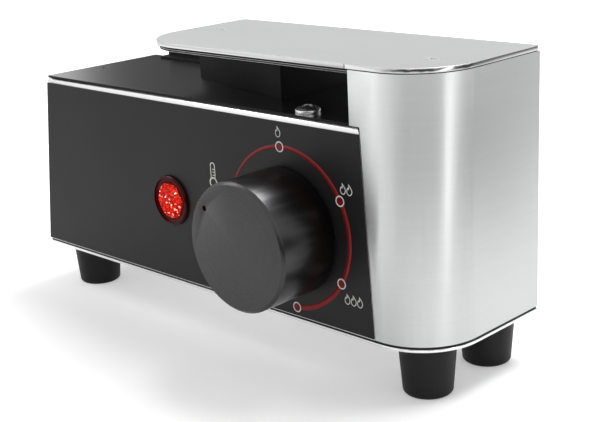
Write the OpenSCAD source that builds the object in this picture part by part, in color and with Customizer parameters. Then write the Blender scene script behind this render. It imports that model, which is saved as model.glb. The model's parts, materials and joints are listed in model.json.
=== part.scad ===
// Compact bench heater: a low deck over a control panel, and a lid on a housing at its right.
// Millimetres, +Z up, front towards -Y, origin on the bench under the middle of the bounding box.
// "Out" sizes are measured from the right face, "in" sizes from the front face, "up" sizes from
// the underside of the base plate, unless a comment says otherwise.

/* [Body] */
// Width of the base, left to right
body_w = 254; // [230:1:290]
// Depth of the casing, front to back
body_d = 70; // [64:1:90]
// Height of the deck above the underside of the base
deck_up = 89.2; // [80:0.2:100]
// Clear height of the slot between the deck and the lid's liner
slot_h = 19.2; // [14:0.2:26]
// Radius of the rounded front right corner
corner_r = 27; // [16:1:28]
// How far the left end leans in at the height of the deck
rake = 13.5; // [4:0.5:18]
// Thickness of the folded casing sheets
sheet_t = 1; // [0.8:0.1:1.5]
// Thickness of the base plate
base_t = 1.2; // [1:0.1:2]
// Thickness of the deck plate
deck_t = 1; // [0.8:0.1:2]
// Width of the end housing that stands above the deck
end_w = 39.6; // [38:0.1:50]
// Gap left where two sheets meet edge to edge
seam = 0.2; // [0.1:0.05:0.4]

/* [Base seal] */
// Thickness of the black strip between base and casing
seal_t = 1; // [0.6:0.1:2]
// Width of that strip
seal_w = 9; // [7:0.5:12]
// How far the strip stays back from the casing's face
seal_inset = 0.5; // [0.2:0.1:1]

/* [Lid] */
// Length of the lid from the right face
lid_w = 170; // [150:0.5:180]
// Thickness of the lid plate
lid_t = 2; // [1.4:0.1:3]
// Thickness of the liner under the lid
liner_t = 1; // [0.6:0.1:1.5]
// Thickness of the insulation between liner and lid
lid_mat_t = 0.9; // [0.8:0.1:3]
// Thickness of the gasket between the lid and the end housing
gasket_t = 0.3; // [0.2:0.05:0.6]
// How far the liner stays back from the lid's edge
liner_in = 1.2; // [0.8:0.1:4]
// How far the insulation stays back from the lid's edge
lid_mat_in = 2.2; // [1.5:0.1:6]
// Radius of the lid's rear corners
lid_rear_r = 2; // [1:0.5:5]
// Width of the joint line in the lid's rim
rim_joint_w = 0.4; // [0.2:0.1:0.8]

/* [Front panel] */
// Outer radius of the bend along its top
bend_r = 2.4; // [1.8:0.1:4]
// Depth of the flanges that turn in at top and bottom
flange_d = 11; // [9:0.5:14]
// Right edge of the panel at the base, out
panel_out_low = 29.7; // [29:0.1:33]
// Right edge of the panel at the deck, out
panel_out_high = 34.7; // [30:0.1:37]
// Radius of the panel's top right corner
panel_tip_r = 3; // [1:0.5:5]
// Thickness of the printed overlay
overlay_t = 0.4; // [0.3:0.1:1]
// Height of the bare strip above the overlay
strip_h = 2.6; // [2.5:0.1:6]

/* [Pedestal under the lid] */
// Right wall of the pedestal, out
ped_right_out = 95; // [85:1:110]
// Left wall of the pedestal, out
ped_left_out = 165; // [140:1:168]
// Front edge at its right wall, in
ped_front_in = 19; // [12:1:30]
// Front edge at its left wall, in
ped_left_in = 35; // [20:1:36]
// Wall of the pedestal
ped_t = 1; // [0.8:0.1:2]

/* [Rear upstand] */
// Height of the upstand above the deck
upstand_h = 11; // [6:0.5:14]
// Thickness of the upstand's plate
upstand_t = 1.4; // [1:0.1:2]
// Depth of its foot on the deck
upstand_foot = 7; // [5:0.5:12]

/* [Feet] */
// Height of the rubber feet
foot_h = 21.5; // [15:0.5:28]
// Diameter of a foot at the base plate
foot_top_d = 24; // [20:0.5:26]
// Diameter of a foot at the bench
foot_low_d = 20.6; // [16:0.2:24]
// Centre of the right feet, out
foot_right_out = 16.5; // [15:0.5:30]
// Centre of the left feet from the left edge of the base
foot_left = 18; // [15:0.5:30]
// Centre of the front feet, in
foot_front_in = 16.5; // [16:0.5:22]
// Centre of the rear feet from the back face
foot_rear = 13.5; // [13:0.5:20]
// Rubber left above the screw head
foot_web = 6; // [4:0.5:9]
// Diameter of the recess for the screw head
foot_recess_d = 9; // [8.5:0.1:12]

/* [Knob] */
// Centre of the knob, out
dial_out = 75.6; // [73:0.1:84]
// Centre of the knob, up
dial_up = 39.8; // [36:0.1:44]
// Diameter of the knob
knob_d = 54.4; // [40:0.1:56]
// Length of the knob
knob_len = 28.8; // [18:0.1:34]
// Gap between knob and overlay
knob_gap = 1; // [0.6:0.1:2]
// Chamfer round its face
knob_chamfer = 1.2; // [0.6:0.1:2.5]
// Wall of the knob
knob_wall = 3; // [2:0.5:5]
// Radius at which the pointer dimple sits
dimple_at = 22; // [14:0.2:23]
// Diameter of the pointer dimple
dimple_d = 2.4; // [1.5:0.1:3]
// Angle of the dimple when the knob is off
off_angle = 141; // [120:1:180]

/* [Thermostat] */
// Diameter of the spindle
spindle_d = 6; // [5:0.5:8]
// Depth of the flat on the spindle
spindle_flat = 1.4; // [1:0.1:2]
// Width and height of the thermostat's housing
stat_w = 34; // [28:1:38]
// Depth of the housing
stat_d = 27; // [20:1:34]
// Thickness of its mounting bracket
stat_bracket_t = 1.5; // [1:0.1:2]
// Diameter of the sensor bulb
bulb_d = 6.2; // [5.6:0.1:6.4]
// Length of the sensor bulb
bulb_len = 70; // [50:1:90]
// Diameter of the capillary
capillary_d = 1.6; // [1.2:0.1:2.4]
// Running clearance round turning and screwed pieces
run_fit = 0.1; // [0.05:0.01:0.1]

/* [Signal lamp] */
// Centre of the lamp, out
lamp_out = 150; // [140:0.5:165]
// Centre of the lamp, up
lamp_up = 40.2; // [30:0.1:50]
// Diameter of the bezel
bezel_d = 23.4; // [22.6:0.1:26]
// Diameter of the lens
lens_d = 20.6; // [15:0.1:21]
// Height of the lens dome
lens_h = 5.6; // [3:0.2:8]
// Diameter of the lamp's barrel behind the panel
barrel_d = 14; // [10:0.5:16]
// Length of the barrel behind the panel
barrel_len = 24; // [16:1:32]

/* [Heater] */
// Diameter of the sheathed element
element_d = 6.5; // [6.5:0.1:8]
// Spacing of its two runs
element_pitch = 26; // [20:1:30]
// Left end of its bend, from the left edge of the base
element_left = 30; // [24:1:50]
// Right end of its runs, out
element_right_out = 66; // [60:1:80]
// Thickness of the clamp plate
clamp_t = 1.2; // [1:0.1:2]
// Thickness of the insulation board
board_t = 8; // [5:0.5:12]

/* [Mains] */
// Centre of the inlet from the left edge of the base
inlet_left = 60; // [50:1:80]
// Centre of the inlet, up
inlet_up = 34; // [28:1:42]
// Thickness of the inlet's flange
inlet_flange_t = 2.5; // [2:0.1:3]
// Width of the socket's cavity
socket_w = 24; // [22:0.5:26]
// Height of the socket's cavity
socket_h = 16.5; // [15:0.5:18]
// Depth of the socket's cavity
socket_deep = 15; // [13:0.5:17]

/* [Fasteners] */
// Head diameter of the casing screws
head_d = 6; // [5:0.1:7]
// Head height of the casing screws
head_h = 2; // [1.6:0.1:2.2]
// Shank diameter of the casing screws
shank_d = 3; // [2.5:0.1:3.5]
// Head diameter of the chrome screw on the deck
deck_head_d = 10.4; // [9:0.1:11]
// Head height of the chrome screw on the deck
deck_head_h = 3; // [2.4:0.1:4]
// Chrome deck screw, out
deck_screw_out = 68.4; // [60:0.1:80]
// Chrome deck screw, in
deck_screw_in = 7.4; // [6.6:0.1:12]

/* [Hidden] */

$fn = 48;
eps = 0.01;

// planes of the casing
right_x = body_w / 2;
left_x = -body_w / 2;
knob_out = overlay_t + knob_gap + knob_len;
front_y = -(body_d + inlet_flange_t - knob_out) / 2;
back_y = front_y + body_d;
base_z = foot_h;
seal_z = base_z + base_t;
shell_z = seal_z + seal_t;
deck_z = base_z + deck_up;
under_deck = deck_z - deck_t;
panel_top = under_deck;
house_top = deck_z + slot_h;
lid_z = house_top + liner_t + lid_mat_t;
skin_top = lid_z - gasket_t;
lid_top = lid_z + lid_t;

// how x leans in along the raked left end, and along the panel's right edge
function rake_x(z) = left_x + rake * (z - base_z) / deck_up;
function panel_right(z) =
    right_x - panel_out_low - (panel_out_high - panel_out_low) * (z - base_z) / deck_up;

// knob, lamp and inlet centres
dial_x = right_x - dial_out;
dial_z = base_z + dial_up;
lamp_x = right_x - lamp_out;
lamp_z = base_z + lamp_up;
inlet_x = left_x + inlet_left;
inlet_z = base_z + inlet_up;

knob_back = front_y - overlay_t - knob_gap;
bezel_t = 1.8;
bezel_seat = 1;
bezel_y = front_y - overlay_t;
lamp_nut_t = 4;
lamp_nut_wall = 3;
lamp_tab = [0.8, 8, 4.8];
lamp_tab_at = 3.5;
inlet_screw_pitch = socket_w + 16;
inlet_sink = 1.6;
inlet_pin = [4, 2];
inlet_pin_out = 9;
inlet_tab_len = 8;
inlet_tab_t = 0.8;
inlet_pin_at = [[-7, -2], [0, 2], [7, -2]];

// screws through the lid: one into the pedestal, one into the end wall's top flange
lid_screw_d = 6.4;
lid_screw_sink = 1.4;
lid_screw_left = [154, 41];
lid_screw_right = [18.2, 25];
rim_joint_in = 1.4;
rim_joint_deep = 0.4;
lid_screw_at = [for (p = [lid_screw_left, lid_screw_right]) [right_x - p[0], front_y + p[1]]];
lid_screw_len = 10;
gasket_in = 0.2;

// small flush screws of the deck: one in view, one under the pedestal
deck_small_edge = 2.3;
deck_small_in = 28.3;
deck_small_under = [30, 8];
deck_small_at = [
    [rake_x(deck_z) + flange_d - deck_small_edge, front_y + deck_small_in],
    [right_x - ped_left_out + deck_small_under[0], back_y - deck_small_under[1]]];
deck_small_d = 4.4;
deck_small_shank = 2;
deck_small_sink = 0.9;
deck_shank_d = 5;

// casing screws under the base and on the back
base_screw_in = 5.5;
base_screw_left = 50;
base_screw_out = 62.7;
base_screw_x = [left_x + base_screw_left, 0, right_x - base_screw_out];
back_screw_up = [9, deck_up - 9];
back_screw_x = [left_x + 22, 0, right_x - 12];
nut_t = 2.4;
nut_d = 7;

// rows of air slots in the base plate and the back panel
vent_w = 3;
vent_h = 18;
base_vents = 9;
base_vent_left = 140;
back_vents = 12;
back_vent_left = 117;
back_vent_up = 50;

// feet
foot_x = [left_x + foot_left, right_x - foot_right_out];
foot_y = [front_y + foot_front_in, back_y - foot_rear];
foot_shank_d = 4;
foot_head_h = 2.6;
foot_nut_gap = 0.5;
foot_head_d = 7.6;
washer_t = 1;

// end housing
end_x = right_x - end_w;
end_foot = 8;
end_top = end_w - 9;

// heater stack under the deck
element_z = under_deck - element_d / 2 - eps * 5;
clamp_z = under_deck - element_d - 0.1 - clamp_t;
board_z = clamp_z - board_t;
heater_y = front_y + body_d / 2;
element_x0 = left_x + element_left + element_pitch / 2;
element_x1 = right_x - element_right_out;
clamp_x0 = left_x + element_left + 2;
clamp_x1 = element_x1 - 12;
clamp_half_w = element_pitch / 2 + element_d / 2 + 2;
stud_d = 3;
stud_left = 28;
stud_right = 10;
stud_x = [clamp_x0 + stud_left, (clamp_x0 + clamp_x1) / 2, clamp_x1 - stud_right];
stud_y = heater_y + element_pitch / 2 - element_d / 2 - 2.25;
cutout_d = 16;
cutout_h = 7;
cutout_x = clamp_x1 - cutout_d / 2 - 3;
cutout_y = heater_y - 6;

// mains pieces on the base plate
block_w = 32;
block_d = 20;
block_h = 15;
block_left = 96;
block_x = left_x + block_left;
block_y = back_y - flange_d - block_d - 4;
block_pole_d = 4.4;
block_pole_in = 5;
block_wire_d = 3.6;
earth_left = 68;
earth_x = left_x + earth_left;
earth_y = front_y + 22;
earth_d = 4;

// thermostat
stat_y = front_y + sheet_t + stat_bracket_t;
bushing_d = 11;
bushing_len = 14;
grub_angle = 270;
grub_at = 7;
grub_d = 4;
grub_len = 6;
bracket_w = 44;
bracket_h = 20;
stat_screw_pitch = 30;
bulb_x1 = clamp_x1 - 4;

// 2D in X and Z, raised to a plate from y0 to y0 + t
module xz(y0, t) translate([0, y0 + t, 0]) rotate([90, 0, 0]) linear_extrude(t) children();
// 2D in Y and Z, raised to a bar from x0 to x0 + t
module yz(x0, t) translate([x0, 0, 0]) rotate([90, 0, 90]) linear_extrude(t) children();
// a round rod along Y from y0 towards the back
module rod_y(x, y0, z, d, len) translate([x, y0, z]) rotate([-90, 0, 0]) cylinder(d = d, h = len);

// outline of the casing seen from above, moved in by i, left edge upright
module plan(i, x0 = left_x) {
    translate([x0, front_y + i]) square([right_x - corner_r - x0, body_d - 2 * i]);
    translate([right_x - corner_r - eps, front_y + corner_r])
        square([corner_r + eps - i, body_d - corner_r - i]);
    translate([right_x - corner_r, front_y + corner_r]) circle(r = corner_r - i);
}

// outline of the lid: round front corners, small round rear ones, moved in by i
module lid_outline(i, x0 = right_x - lid_w, x1 = right_x) {
    r = corner_r - i;
    difference() {
        union() {
            translate([x0 + corner_r, front_y + i])
                square([x1 - x0 - 2 * corner_r, body_d - 2 * i]);
            translate([x0 + i, front_y + corner_r])
                square([x1 - x0 - 2 * i, body_d - corner_r - lid_rear_r - i]);
            translate([x0 + i + lid_rear_r, back_y - i - lid_rear_r - eps])
                square([x1 - x0 - 2 * (i + lid_rear_r), lid_rear_r + eps]);
            for (x = [x0 + corner_r, x1 - corner_r])
                translate([x, front_y + corner_r]) circle(r = r);
            for (x = [x0 + i + lid_rear_r, x1 - i - lid_rear_r])
                translate([x, back_y - i - lid_rear_r]) circle(r = lid_rear_r);
        }
        for (p = lid_screw_at) translate(p) circle(d = shank_d + 2 * run_fit);
    }
}

// cross recess of a screw head, cut down from z = 0
module cross(size, deep) {
    for (a = [0, 90])
        rotate(a) translate([-size / 2, -size / 8, -deep]) cube([size, size / 4, deep + 1]);
}

// pan head screw, head up from z = 0 and shank down
module pan_screw(d, h, shank, len) {
    difference() {
        union() {
            cylinder(d = d, h = h * 0.45);
            translate([0, 0, h * 0.45 - eps]) intersection() {
                cylinder(d = d, h = h * 0.55 + eps);
                scale_r = (d * d / 4 + h * h * 0.3) / (2 * h * 0.55);
                translate([0, 0, h * 0.55 - scale_r]) sphere(r = scale_r, $fn = 64);
            }
        }
        translate([0, 0, h]) cross(d * 0.5, h * 0.5);
    }
    translate([0, 0, -len]) cylinder(d = shank, h = len + eps);
}

// countersunk screw, its top face at z = 0
module flush_screw(d, sink, shank, len) {
    difference() {
        translate([0, 0, -sink]) cylinder(d1 = shank, d2 = d, h = sink);
        cross(d * 0.6, sink * 0.6);
    }
    translate([0, 0, -len]) cylinder(d = shank, h = len - sink + eps);
}

// a slot with round ends, standing upright in the X Z plane
module upright_slot(w, h) {
    translate([-w / 2, w / 2]) square([w, h - w]);
    for (z = [w / 2, h - w / 2]) translate([0, z]) circle(d = w);
}

// ---- casing ----

module base_plate() color("gainsboro") difference() {
    translate([0, 0, base_z]) linear_extrude(base_t) difference() {
        plan(0);
        for (x = foot_x, y = foot_y) translate([x, y]) circle(d = foot_shank_d + 2 * run_fit);
        for (x = base_screw_x, y = [front_y + base_screw_in, back_y - base_screw_in])
            translate([x, y]) circle(d = shank_d + 2 * run_fit);
        for (i = [0 : base_vents - 1])
            translate([left_x + base_vent_left + i * 2 * vent_w, heater_y - vent_h / 2])
                upright_slot(vent_w, vent_h);
        translate([earth_x, earth_y]) circle(d = earth_d + 2 * run_fit);
    }
}

module base_seal() color("#181818") translate([0, 0, seal_z]) linear_extrude(seal_t) difference() {
    plan(seal_inset, rake_x(shell_z) + seal_inset);
    plan(seal_w, rake_x(shell_z) + seal_w);
    for (x = base_screw_x, y = [front_y + base_screw_in, back_y - base_screw_in])
        translate([x, y]) circle(d = shank_d + 2 * run_fit);
    for (x = foot_x, y = foot_y) translate([x, y]) circle(d = nut_d + 3);
}

// outline of the front panel in X and Z, its top right corner round
module panel_outline(low, top, gap = 0) {
    tip = panel_right(top) - gap - panel_tip_r;
    polygon(concat(
        [[rake_x(low) + gap, low], [panel_right(low) - gap, low]],
        [for (a = [0 : 15 : 90])
            [tip + panel_tip_r * cos(a), top - panel_tip_r + panel_tip_r * sin(a)]],
        [[rake_x(top) + gap, top]]));
}

module front_panel() color("whitesmoke") difference() {
    intersection() {
        yz(left_x, body_w) {
            // face
            translate([front_y, shell_z]) square([sheet_t, panel_top - shell_z - bend_r]);
            // round bend along the top
            translate([front_y + bend_r, panel_top - bend_r]) intersection() {
                difference() {
                    circle(r = bend_r);
                    circle(r = bend_r - sheet_t);
                }
                translate([-bend_r, 0]) square(bend_r);
            }
            // flanges at top and bottom
            translate([front_y + bend_r - eps, panel_top - sheet_t]) square([flange_d - bend_r, sheet_t]);
            translate([front_y, shell_z]) square([flange_d, sheet_t]);
        }
        xz(front_y - 1, flange_d + 2) panel_outline(shell_z, panel_top);
    }
    rod_y(dial_x, front_y - 1, dial_z, spindle_d + 4, sheet_t + 2);
    for (s = [-1, 1])
        rod_y(dial_x + s * stat_screw_pitch / 2, front_y - 1, dial_z, shank_d + 2 * run_fit, sheet_t + 2);
    rod_y(lamp_x, front_y - 1, lamp_z, barrel_d + 2 * run_fit, sheet_t + 2);
    for (x = base_screw_x) translate([x, front_y + base_screw_in, shell_z - 1])
        cylinder(d = shank_d + 2 * run_fit, h = sheet_t + 2);
    translate([right_x - deck_screw_out, front_y + deck_screw_in, panel_top - sheet_t - 1])
        cylinder(d = deck_shank_d + 2 * run_fit, h = sheet_t + 2);
}

module panel_overlay() color("#202022") difference() {
    xz(front_y - overlay_t, overlay_t) {
        low = shell_z + 0.4;
        top = deck_z - deck_t - strip_h;
        polygon([[rake_x(low) + seam, low], [panel_right(low) - seam, low],
                 [panel_right(top) - seam, top], [rake_x(top) + seam, top]]);
    }
    rod_y(dial_x, front_y - 1, dial_z, spindle_d + 4, 2);
    for (s = [-1, 1])
        rod_y(dial_x + s * stat_screw_pitch / 2, front_y - 1, dial_z, head_d + 1, 2);
    rod_y(lamp_x, front_y - 1, lamp_z, barrel_d + 2 * run_fit, 2);
}

module left_end_panel() color("whitesmoke") difference() {
    xz(front_y + sheet_t + seam / 2, body_d - 2 * sheet_t - seam) {
        low = shell_z;
        top = under_deck;
        // wall that leans in
        polygon([[rake_x(low), low], [rake_x(low) + sheet_t, low],
                 [rake_x(top) + sheet_t, top], [rake_x(top), top]]);
        // flange under the deck
        polygon([[rake_x(top), top - sheet_t], [rake_x(top) + flange_d, top - sheet_t],
                 [rake_x(top) + flange_d, top], [rake_x(top), top]]);
    }
    // corner notches where the front panel's flanges pass
    for (z = [shell_z - 1, panel_top - bend_r - seam])
        translate([left_x - 1, front_y, z])
            cube([rake + flange_d + 4, flange_d + seam, bend_r + 1 + seam]);
    p = deck_small_at[0];
    translate([p[0], p[1], under_deck - sheet_t - 1])
        cylinder(d = deck_small_shank + 2 * run_fit, h = sheet_t + 2);
}

module back_panel() color("whitesmoke") difference() {
    union() {
        xz(back_y - sheet_t, sheet_t) {
            up_z = deck_z + upstand_h;
            polygon([
                [rake_x(shell_z), shell_z], [right_x - sheet_t - seam, shell_z],
                [right_x - sheet_t - seam, skin_top], [end_x, skin_top], [end_x, under_deck],
                [right_x - ped_right_out, under_deck], [right_x - ped_right_out, house_top],
                [right_x - ped_left_out, house_top], [right_x - ped_left_out, up_z],
                [rake_x(up_z), up_z]]);
        }
        // bottom flange
        translate([left_x + 3 * sheet_t, back_y - flange_d, shell_z])
            cube([body_w - 6 * sheet_t, flange_d - sheet_t + eps, sheet_t]);
    }
    translate([inlet_x - socket_w / 2 - 2.5, back_y - sheet_t - 1, inlet_z - socket_h / 2 - 2.5])
        cube([socket_w + 5, sheet_t + 2, socket_h + 5]);
    for (s = [-1, 1])
        rod_y(inlet_x + s * inlet_screw_pitch / 2, back_y - sheet_t - 1, inlet_z,
              shank_d + 2 * run_fit, sheet_t + 2);
    for (i = [0 : back_vents - 1])
        xz(back_y - sheet_t - 1, sheet_t + 2)
            translate([left_x + back_vent_left + i * (2 * vent_w + 1), base_z + back_vent_up])
                upright_slot(vent_w, vent_h);
    // the rear feet's nuts reach past the bottom flange
    for (x = foot_x) translate([x, foot_y[1], shell_z - 1])
        cylinder(d = nut_d + 2 * foot_nut_gap, h = sheet_t + 2);
    for (x = base_screw_x) translate([x, back_y - base_screw_in, shell_z - 1])
        cylinder(d = shank_d + 2 * run_fit, h = sheet_t + 2);
    for (x = back_screw_x, u = back_screw_up)
        rod_y(x, back_y - sheet_t - 1, base_z + u, shank_d + 2 * run_fit, sheet_t + 2);
}

module end_skin() color("silver") difference() {
    translate([0, 0, shell_z]) linear_extrude(skin_top - shell_z) difference() {
        plan(0, end_x - 20);
        plan(sheet_t, end_x - 21);
        // open at the back, behind the corner and the side
        translate([left_x, front_y + corner_r]) square([body_w - sheet_t, body_d]);
        translate([left_x, front_y - 1]) square([end_x - left_x, body_d]);
    }
    // room for the front panel, whose right edge leans
    xz(front_y - 1, sheet_t + 3) polygon([
        [end_x - 1, shell_z - 1], [panel_right(shell_z) + seam, shell_z - 1],
        [panel_right(panel_top) + seam, panel_top + seam], [end_x - 1, panel_top + seam]]);
    // room for the deck plate's edge
    translate([end_x - 1, front_y + sheet_t / 2, under_deck - seam]) cube([1, sheet_t, deck_t + seam]);
}

module deck_plate() color("#1b1b1c") difference() {
    edge_in = 0.4;
    translate([0, 0, under_deck]) linear_extrude(deck_t) polygon([
        [rake_x(deck_z), front_y + edge_in], [end_x - seam, front_y + edge_in],
        [end_x - seam, front_y + sheet_t + seam], [end_x + end_foot, front_y + sheet_t + seam],
        [end_x + end_foot, back_y - sheet_t - seam], [rake_x(deck_z), back_y - sheet_t - seam]]);
    translate([right_x - deck_screw_out, front_y + deck_screw_in, under_deck - 1])
        cylinder(d = deck_shank_d + 2 * run_fit, h = deck_t + 2);
    for (p = deck_small_at) translate([p[0], p[1], deck_z + eps - 1])
        cylinder(d1 = deck_small_shank + 2 * run_fit, d2 = deck_small_d + 2 * run_fit, h = 1);
    for (p = deck_small_at) translate([p[0], p[1], under_deck - 1])
        cylinder(d = deck_small_shank + 2 * run_fit, h = deck_t + 2);
}

module end_wall() color("silver") difference() {
    xz(front_y + sheet_t + seam, body_d - 2 * (sheet_t + seam)) {
        translate([end_x, deck_z]) square([sheet_t, skin_top - deck_z]);
        translate([end_x, deck_z]) square([end_foot, sheet_t]);
        translate([end_x, skin_top - sheet_t]) square([end_top, sheet_t]);
    }
    // the top flange follows the round corner
    translate([0, 0, skin_top - sheet_t - 1]) linear_extrude(sheet_t + 2) difference() {
        translate([end_x, front_y - 1]) square([end_w + 2, body_d + 2]);
        plan(sheet_t + seam, end_x - 5);
    }
    p = lid_screw_at[1];
    translate([p[0], p[1], skin_top - sheet_t - 1]) cylinder(d = shank_d + 2 * run_fit, h = sheet_t + 2);
}

module pedestal() color("#161616") difference() {
    back = back_y - sheet_t - seam;
    outline = [[right_x - ped_right_out, front_y + ped_front_in], [right_x - ped_right_out, back],
               [right_x - ped_left_out, back], [right_x - ped_left_out, front_y + ped_left_in]];
    // the front wall leans in plan, so its inner line moves by the wall along its slope
    slope = (ped_left_in - ped_front_in) / (ped_left_out - ped_right_out);
    front_step = ped_t * sqrt(1 + slope * slope);
    translate([0, 0, deck_z]) linear_extrude(slot_h) polygon(outline);
    translate([0, 0, deck_z - 1]) linear_extrude(slot_h - ped_t + 1) polygon([
        outline[0] + [-ped_t, front_step + slope * ped_t], outline[1] + [-ped_t, -ped_t],
        outline[2] + [ped_t, -ped_t], outline[3] + [ped_t, front_step - slope * ped_t]]);
    p = lid_screw_at[0];
    translate([p[0], p[1], house_top - ped_t - 1]) cylinder(d = shank_d + 2 * run_fit, h = ped_t + 2);
}

module rear_upstand() color("#161616") {
    x0 = rake_x(deck_z + upstand_h) + sheet_t;
    back = back_y - sheet_t - seam;
    yz(x0, right_x - ped_left_out - seam - x0) {
        translate([back - upstand_t, deck_z]) square([upstand_t, upstand_h]);
        translate([back - upstand_foot, deck_z]) square([upstand_foot, upstand_t]);
    }
}

// ---- lid ----

module lid_plate() color("silver") difference() {
    translate([0, 0, lid_z]) linear_extrude(lid_t) lid_outline(0);
    for (p = lid_screw_at) translate([p[0], p[1], lid_top - lid_screw_sink])
        cylinder(d1 = shank_d + 2 * run_fit, d2 = lid_screw_d + 2 * run_fit, h = lid_screw_sink + eps);
    // joint line of the rim, over the edge of the end housing
    translate([end_x - rim_joint_in - rim_joint_w / 2, front_y - 1, lid_z - 1])
        cube([rim_joint_w, 1 + rim_joint_deep, lid_t + 2]);
}

// the thin black line that shows between the lid and the end housing
module lid_gasket() color("#101010") translate([0, 0, skin_top])
    linear_extrude(gasket_t) intersection() {
        lid_outline(gasket_in);
        translate([end_x, front_y - 1]) square([end_w + 1, body_d + 2]);
    }

module lid_insulation() color("#202020") translate([0, 0, house_top + liner_t])
    linear_extrude(lid_mat_t) intersection() {
        lid_outline(lid_mat_in);
        translate([left_x, front_y - 1]) square([end_x - seam - left_x, body_d + 2]);
    }

module lid_liner() color("lightgray") translate([0, 0, house_top])
    linear_extrude(liner_t) intersection() {
        lid_outline(liner_in);
        translate([left_x, front_y - 1]) square([end_x - seam - left_x, body_d + 2]);
    }

// ---- feet ----

module rubber_feet() color("#1a1a1a") for (x = foot_x, y = foot_y) translate([x, y, 0])
    rotate_extrude($fn = 64) difference() {
        polygon([[0, 0], [foot_low_d / 2 - 1, 0], [foot_low_d / 2, 1],
                 [foot_top_d / 2, foot_h], [0, foot_h]]);
        translate([-1, -1]) square([foot_recess_d / 2 + 1, foot_h - foot_web + 1]);
        translate([-1, -1]) square([foot_shank_d / 2 + run_fit + 1, foot_h + 2]);
    }

module foot_washers() color("silver") for (x = foot_x, y = foot_y)
    translate([x, y, foot_h - foot_web - washer_t - eps]) difference() {
        cylinder(d = foot_recess_d - 0.6, h = washer_t);
        translate([0, 0, -1]) cylinder(d = foot_shank_d + 2 * run_fit, h = washer_t + 2);
    }

module foot_screws() color("silver") for (x = foot_x, y = foot_y)
    translate([x, y, foot_h - foot_web - washer_t - 2 * eps]) {
        shank = foot_web + washer_t + base_t + nut_t + 2;
        mirror([0, 0, 1]) pan_screw(foot_head_d, foot_head_h, foot_shank_d, shank);
        translate([0, 0, foot_web + washer_t + base_t + 3 * eps]) difference() {
            cylinder(d = nut_d, h = nut_t, $fn = 6);
            translate([0, 0, -1]) cylinder(d = foot_shank_d + run_fit, h = nut_t + 2);
        }
    }

// ---- knob and thermostat ----

module control_knob() color("#2a2a2d") difference() {
    // turned body: skirt, chamfered rim, shallow cone on the face, hollow behind with a hub
    translate([dial_x, knob_back, dial_z]) rotate([90, 0, 0]) difference() {
        rotate_extrude($fn = 96) difference() {
            polygon([
                [0, 0], [knob_d / 2 - 0.4, 0], [knob_d / 2, 0.4], [knob_d / 2, knob_len - knob_chamfer],
                [knob_d / 2 - knob_chamfer, knob_len], [0, knob_len - 0.3]]);
            // hollow between wall and hub
            translate([bushing_d / 2 + 2, -1])
                square([knob_d / 2 - knob_wall - bushing_d / 2 - 2, knob_len - knob_wall + 1]);
            // seat of the brass bushing
            translate([-1, -1]) square([bushing_d / 2 + run_fit + 1, bushing_len + 2]);
        }
        // pointer dimple
        rotate(off_angle) translate([dimple_at, 0, knob_len - 0.9]) cylinder(d = dimple_d, h = 3, $fn = 24);
        // grub screw hole through wall and hub
        rotate(grub_angle) translate([0, 0, grub_at]) rotate([0, 90, 0])
            cylinder(d = grub_d + 2 * run_fit, h = knob_d);
    }
}

module knob_bushing() color("goldenrod")
    translate([dial_x, knob_back - eps, dial_z]) rotate([90, 0, 0]) difference() {
        cylinder(d = bushing_d, h = bushing_len);
        rotate(grub_angle) translate([0, 0, -1]) difference() {
            cylinder(d = spindle_d + 2 * run_fit, h = bushing_len + 2);
            translate([spindle_d / 2 - spindle_flat + run_fit, -spindle_d, -1])
                cube([spindle_d, 2 * spindle_d, bushing_len + 4]);
        }
        rotate(grub_angle) translate([0, 0, grub_at]) rotate([0, 90, 0])
            cylinder(d = grub_d + 2 * run_fit, h = bushing_d);
    }

module knob_grub_screw() color("dimgray")
    translate([dial_x, knob_back - eps, dial_z]) rotate([90, 0, 0]) rotate(grub_angle)
        translate([spindle_d / 2 - spindle_flat + run_fit, 0, grub_at]) rotate([0, 90, 0]) difference() {
            cylinder(d = grub_d, h = grub_len);
            translate([0, 0, grub_len - 2]) cylinder(d = grub_d / 2, h = 3, $fn = 6);
        }

module thermostat_spindle() color("silver")
    translate([dial_x, stat_y, dial_z]) rotate([90, 0, 0]) rotate(grub_angle) {
        reach = stat_bracket_t + sheet_t + overlay_t + knob_gap + bushing_len - 1;
        difference() {
            cylinder(d = spindle_d, h = reach);
            translate([spindle_d / 2 - spindle_flat, -spindle_d, stat_bracket_t + sheet_t + overlay_t + 0.5])
                cube([spindle_d, 2 * spindle_d, reach]);
        }
        // collar and stub that turn inside the housing
        translate([0, 0, -6]) cylinder(d = spindle_d + 3, h = 5);
        translate([0, 0, -1 - eps]) cylinder(d = spindle_d, h = 1 + 2 * eps);
    }

module thermostat_body() color("#3a2a20") difference() {
    union() {
        translate([dial_x - stat_w / 2, stat_y, dial_z - stat_w / 2]) cube([stat_w, stat_d, stat_w]);
        // switch tabs at the back
        for (s = [-1, 1], u = [-1, 1])
            translate([dial_x + s * 10 - 3.2, stat_y + stat_d - eps, dial_z + u * 8 - 0.4])
                cube([6.4, 8, 0.8]);
    }
    // round well for the spindle's collar
    rod_y(dial_x, stat_y - 1, dial_z, spindle_d + 2 * run_fit, 3);
    rod_y(dial_x, stat_y + 1 - run_fit, dial_z, spindle_d + 3 + 2 * run_fit, 5 + 2 * run_fit);
    // tapped holes for the panel screws
    for (s = [-1, 1])
        rod_y(dial_x + s * stat_screw_pitch / 2, stat_y - 1, dial_z, shank_d + 2 * run_fit, 7);
}

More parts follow.
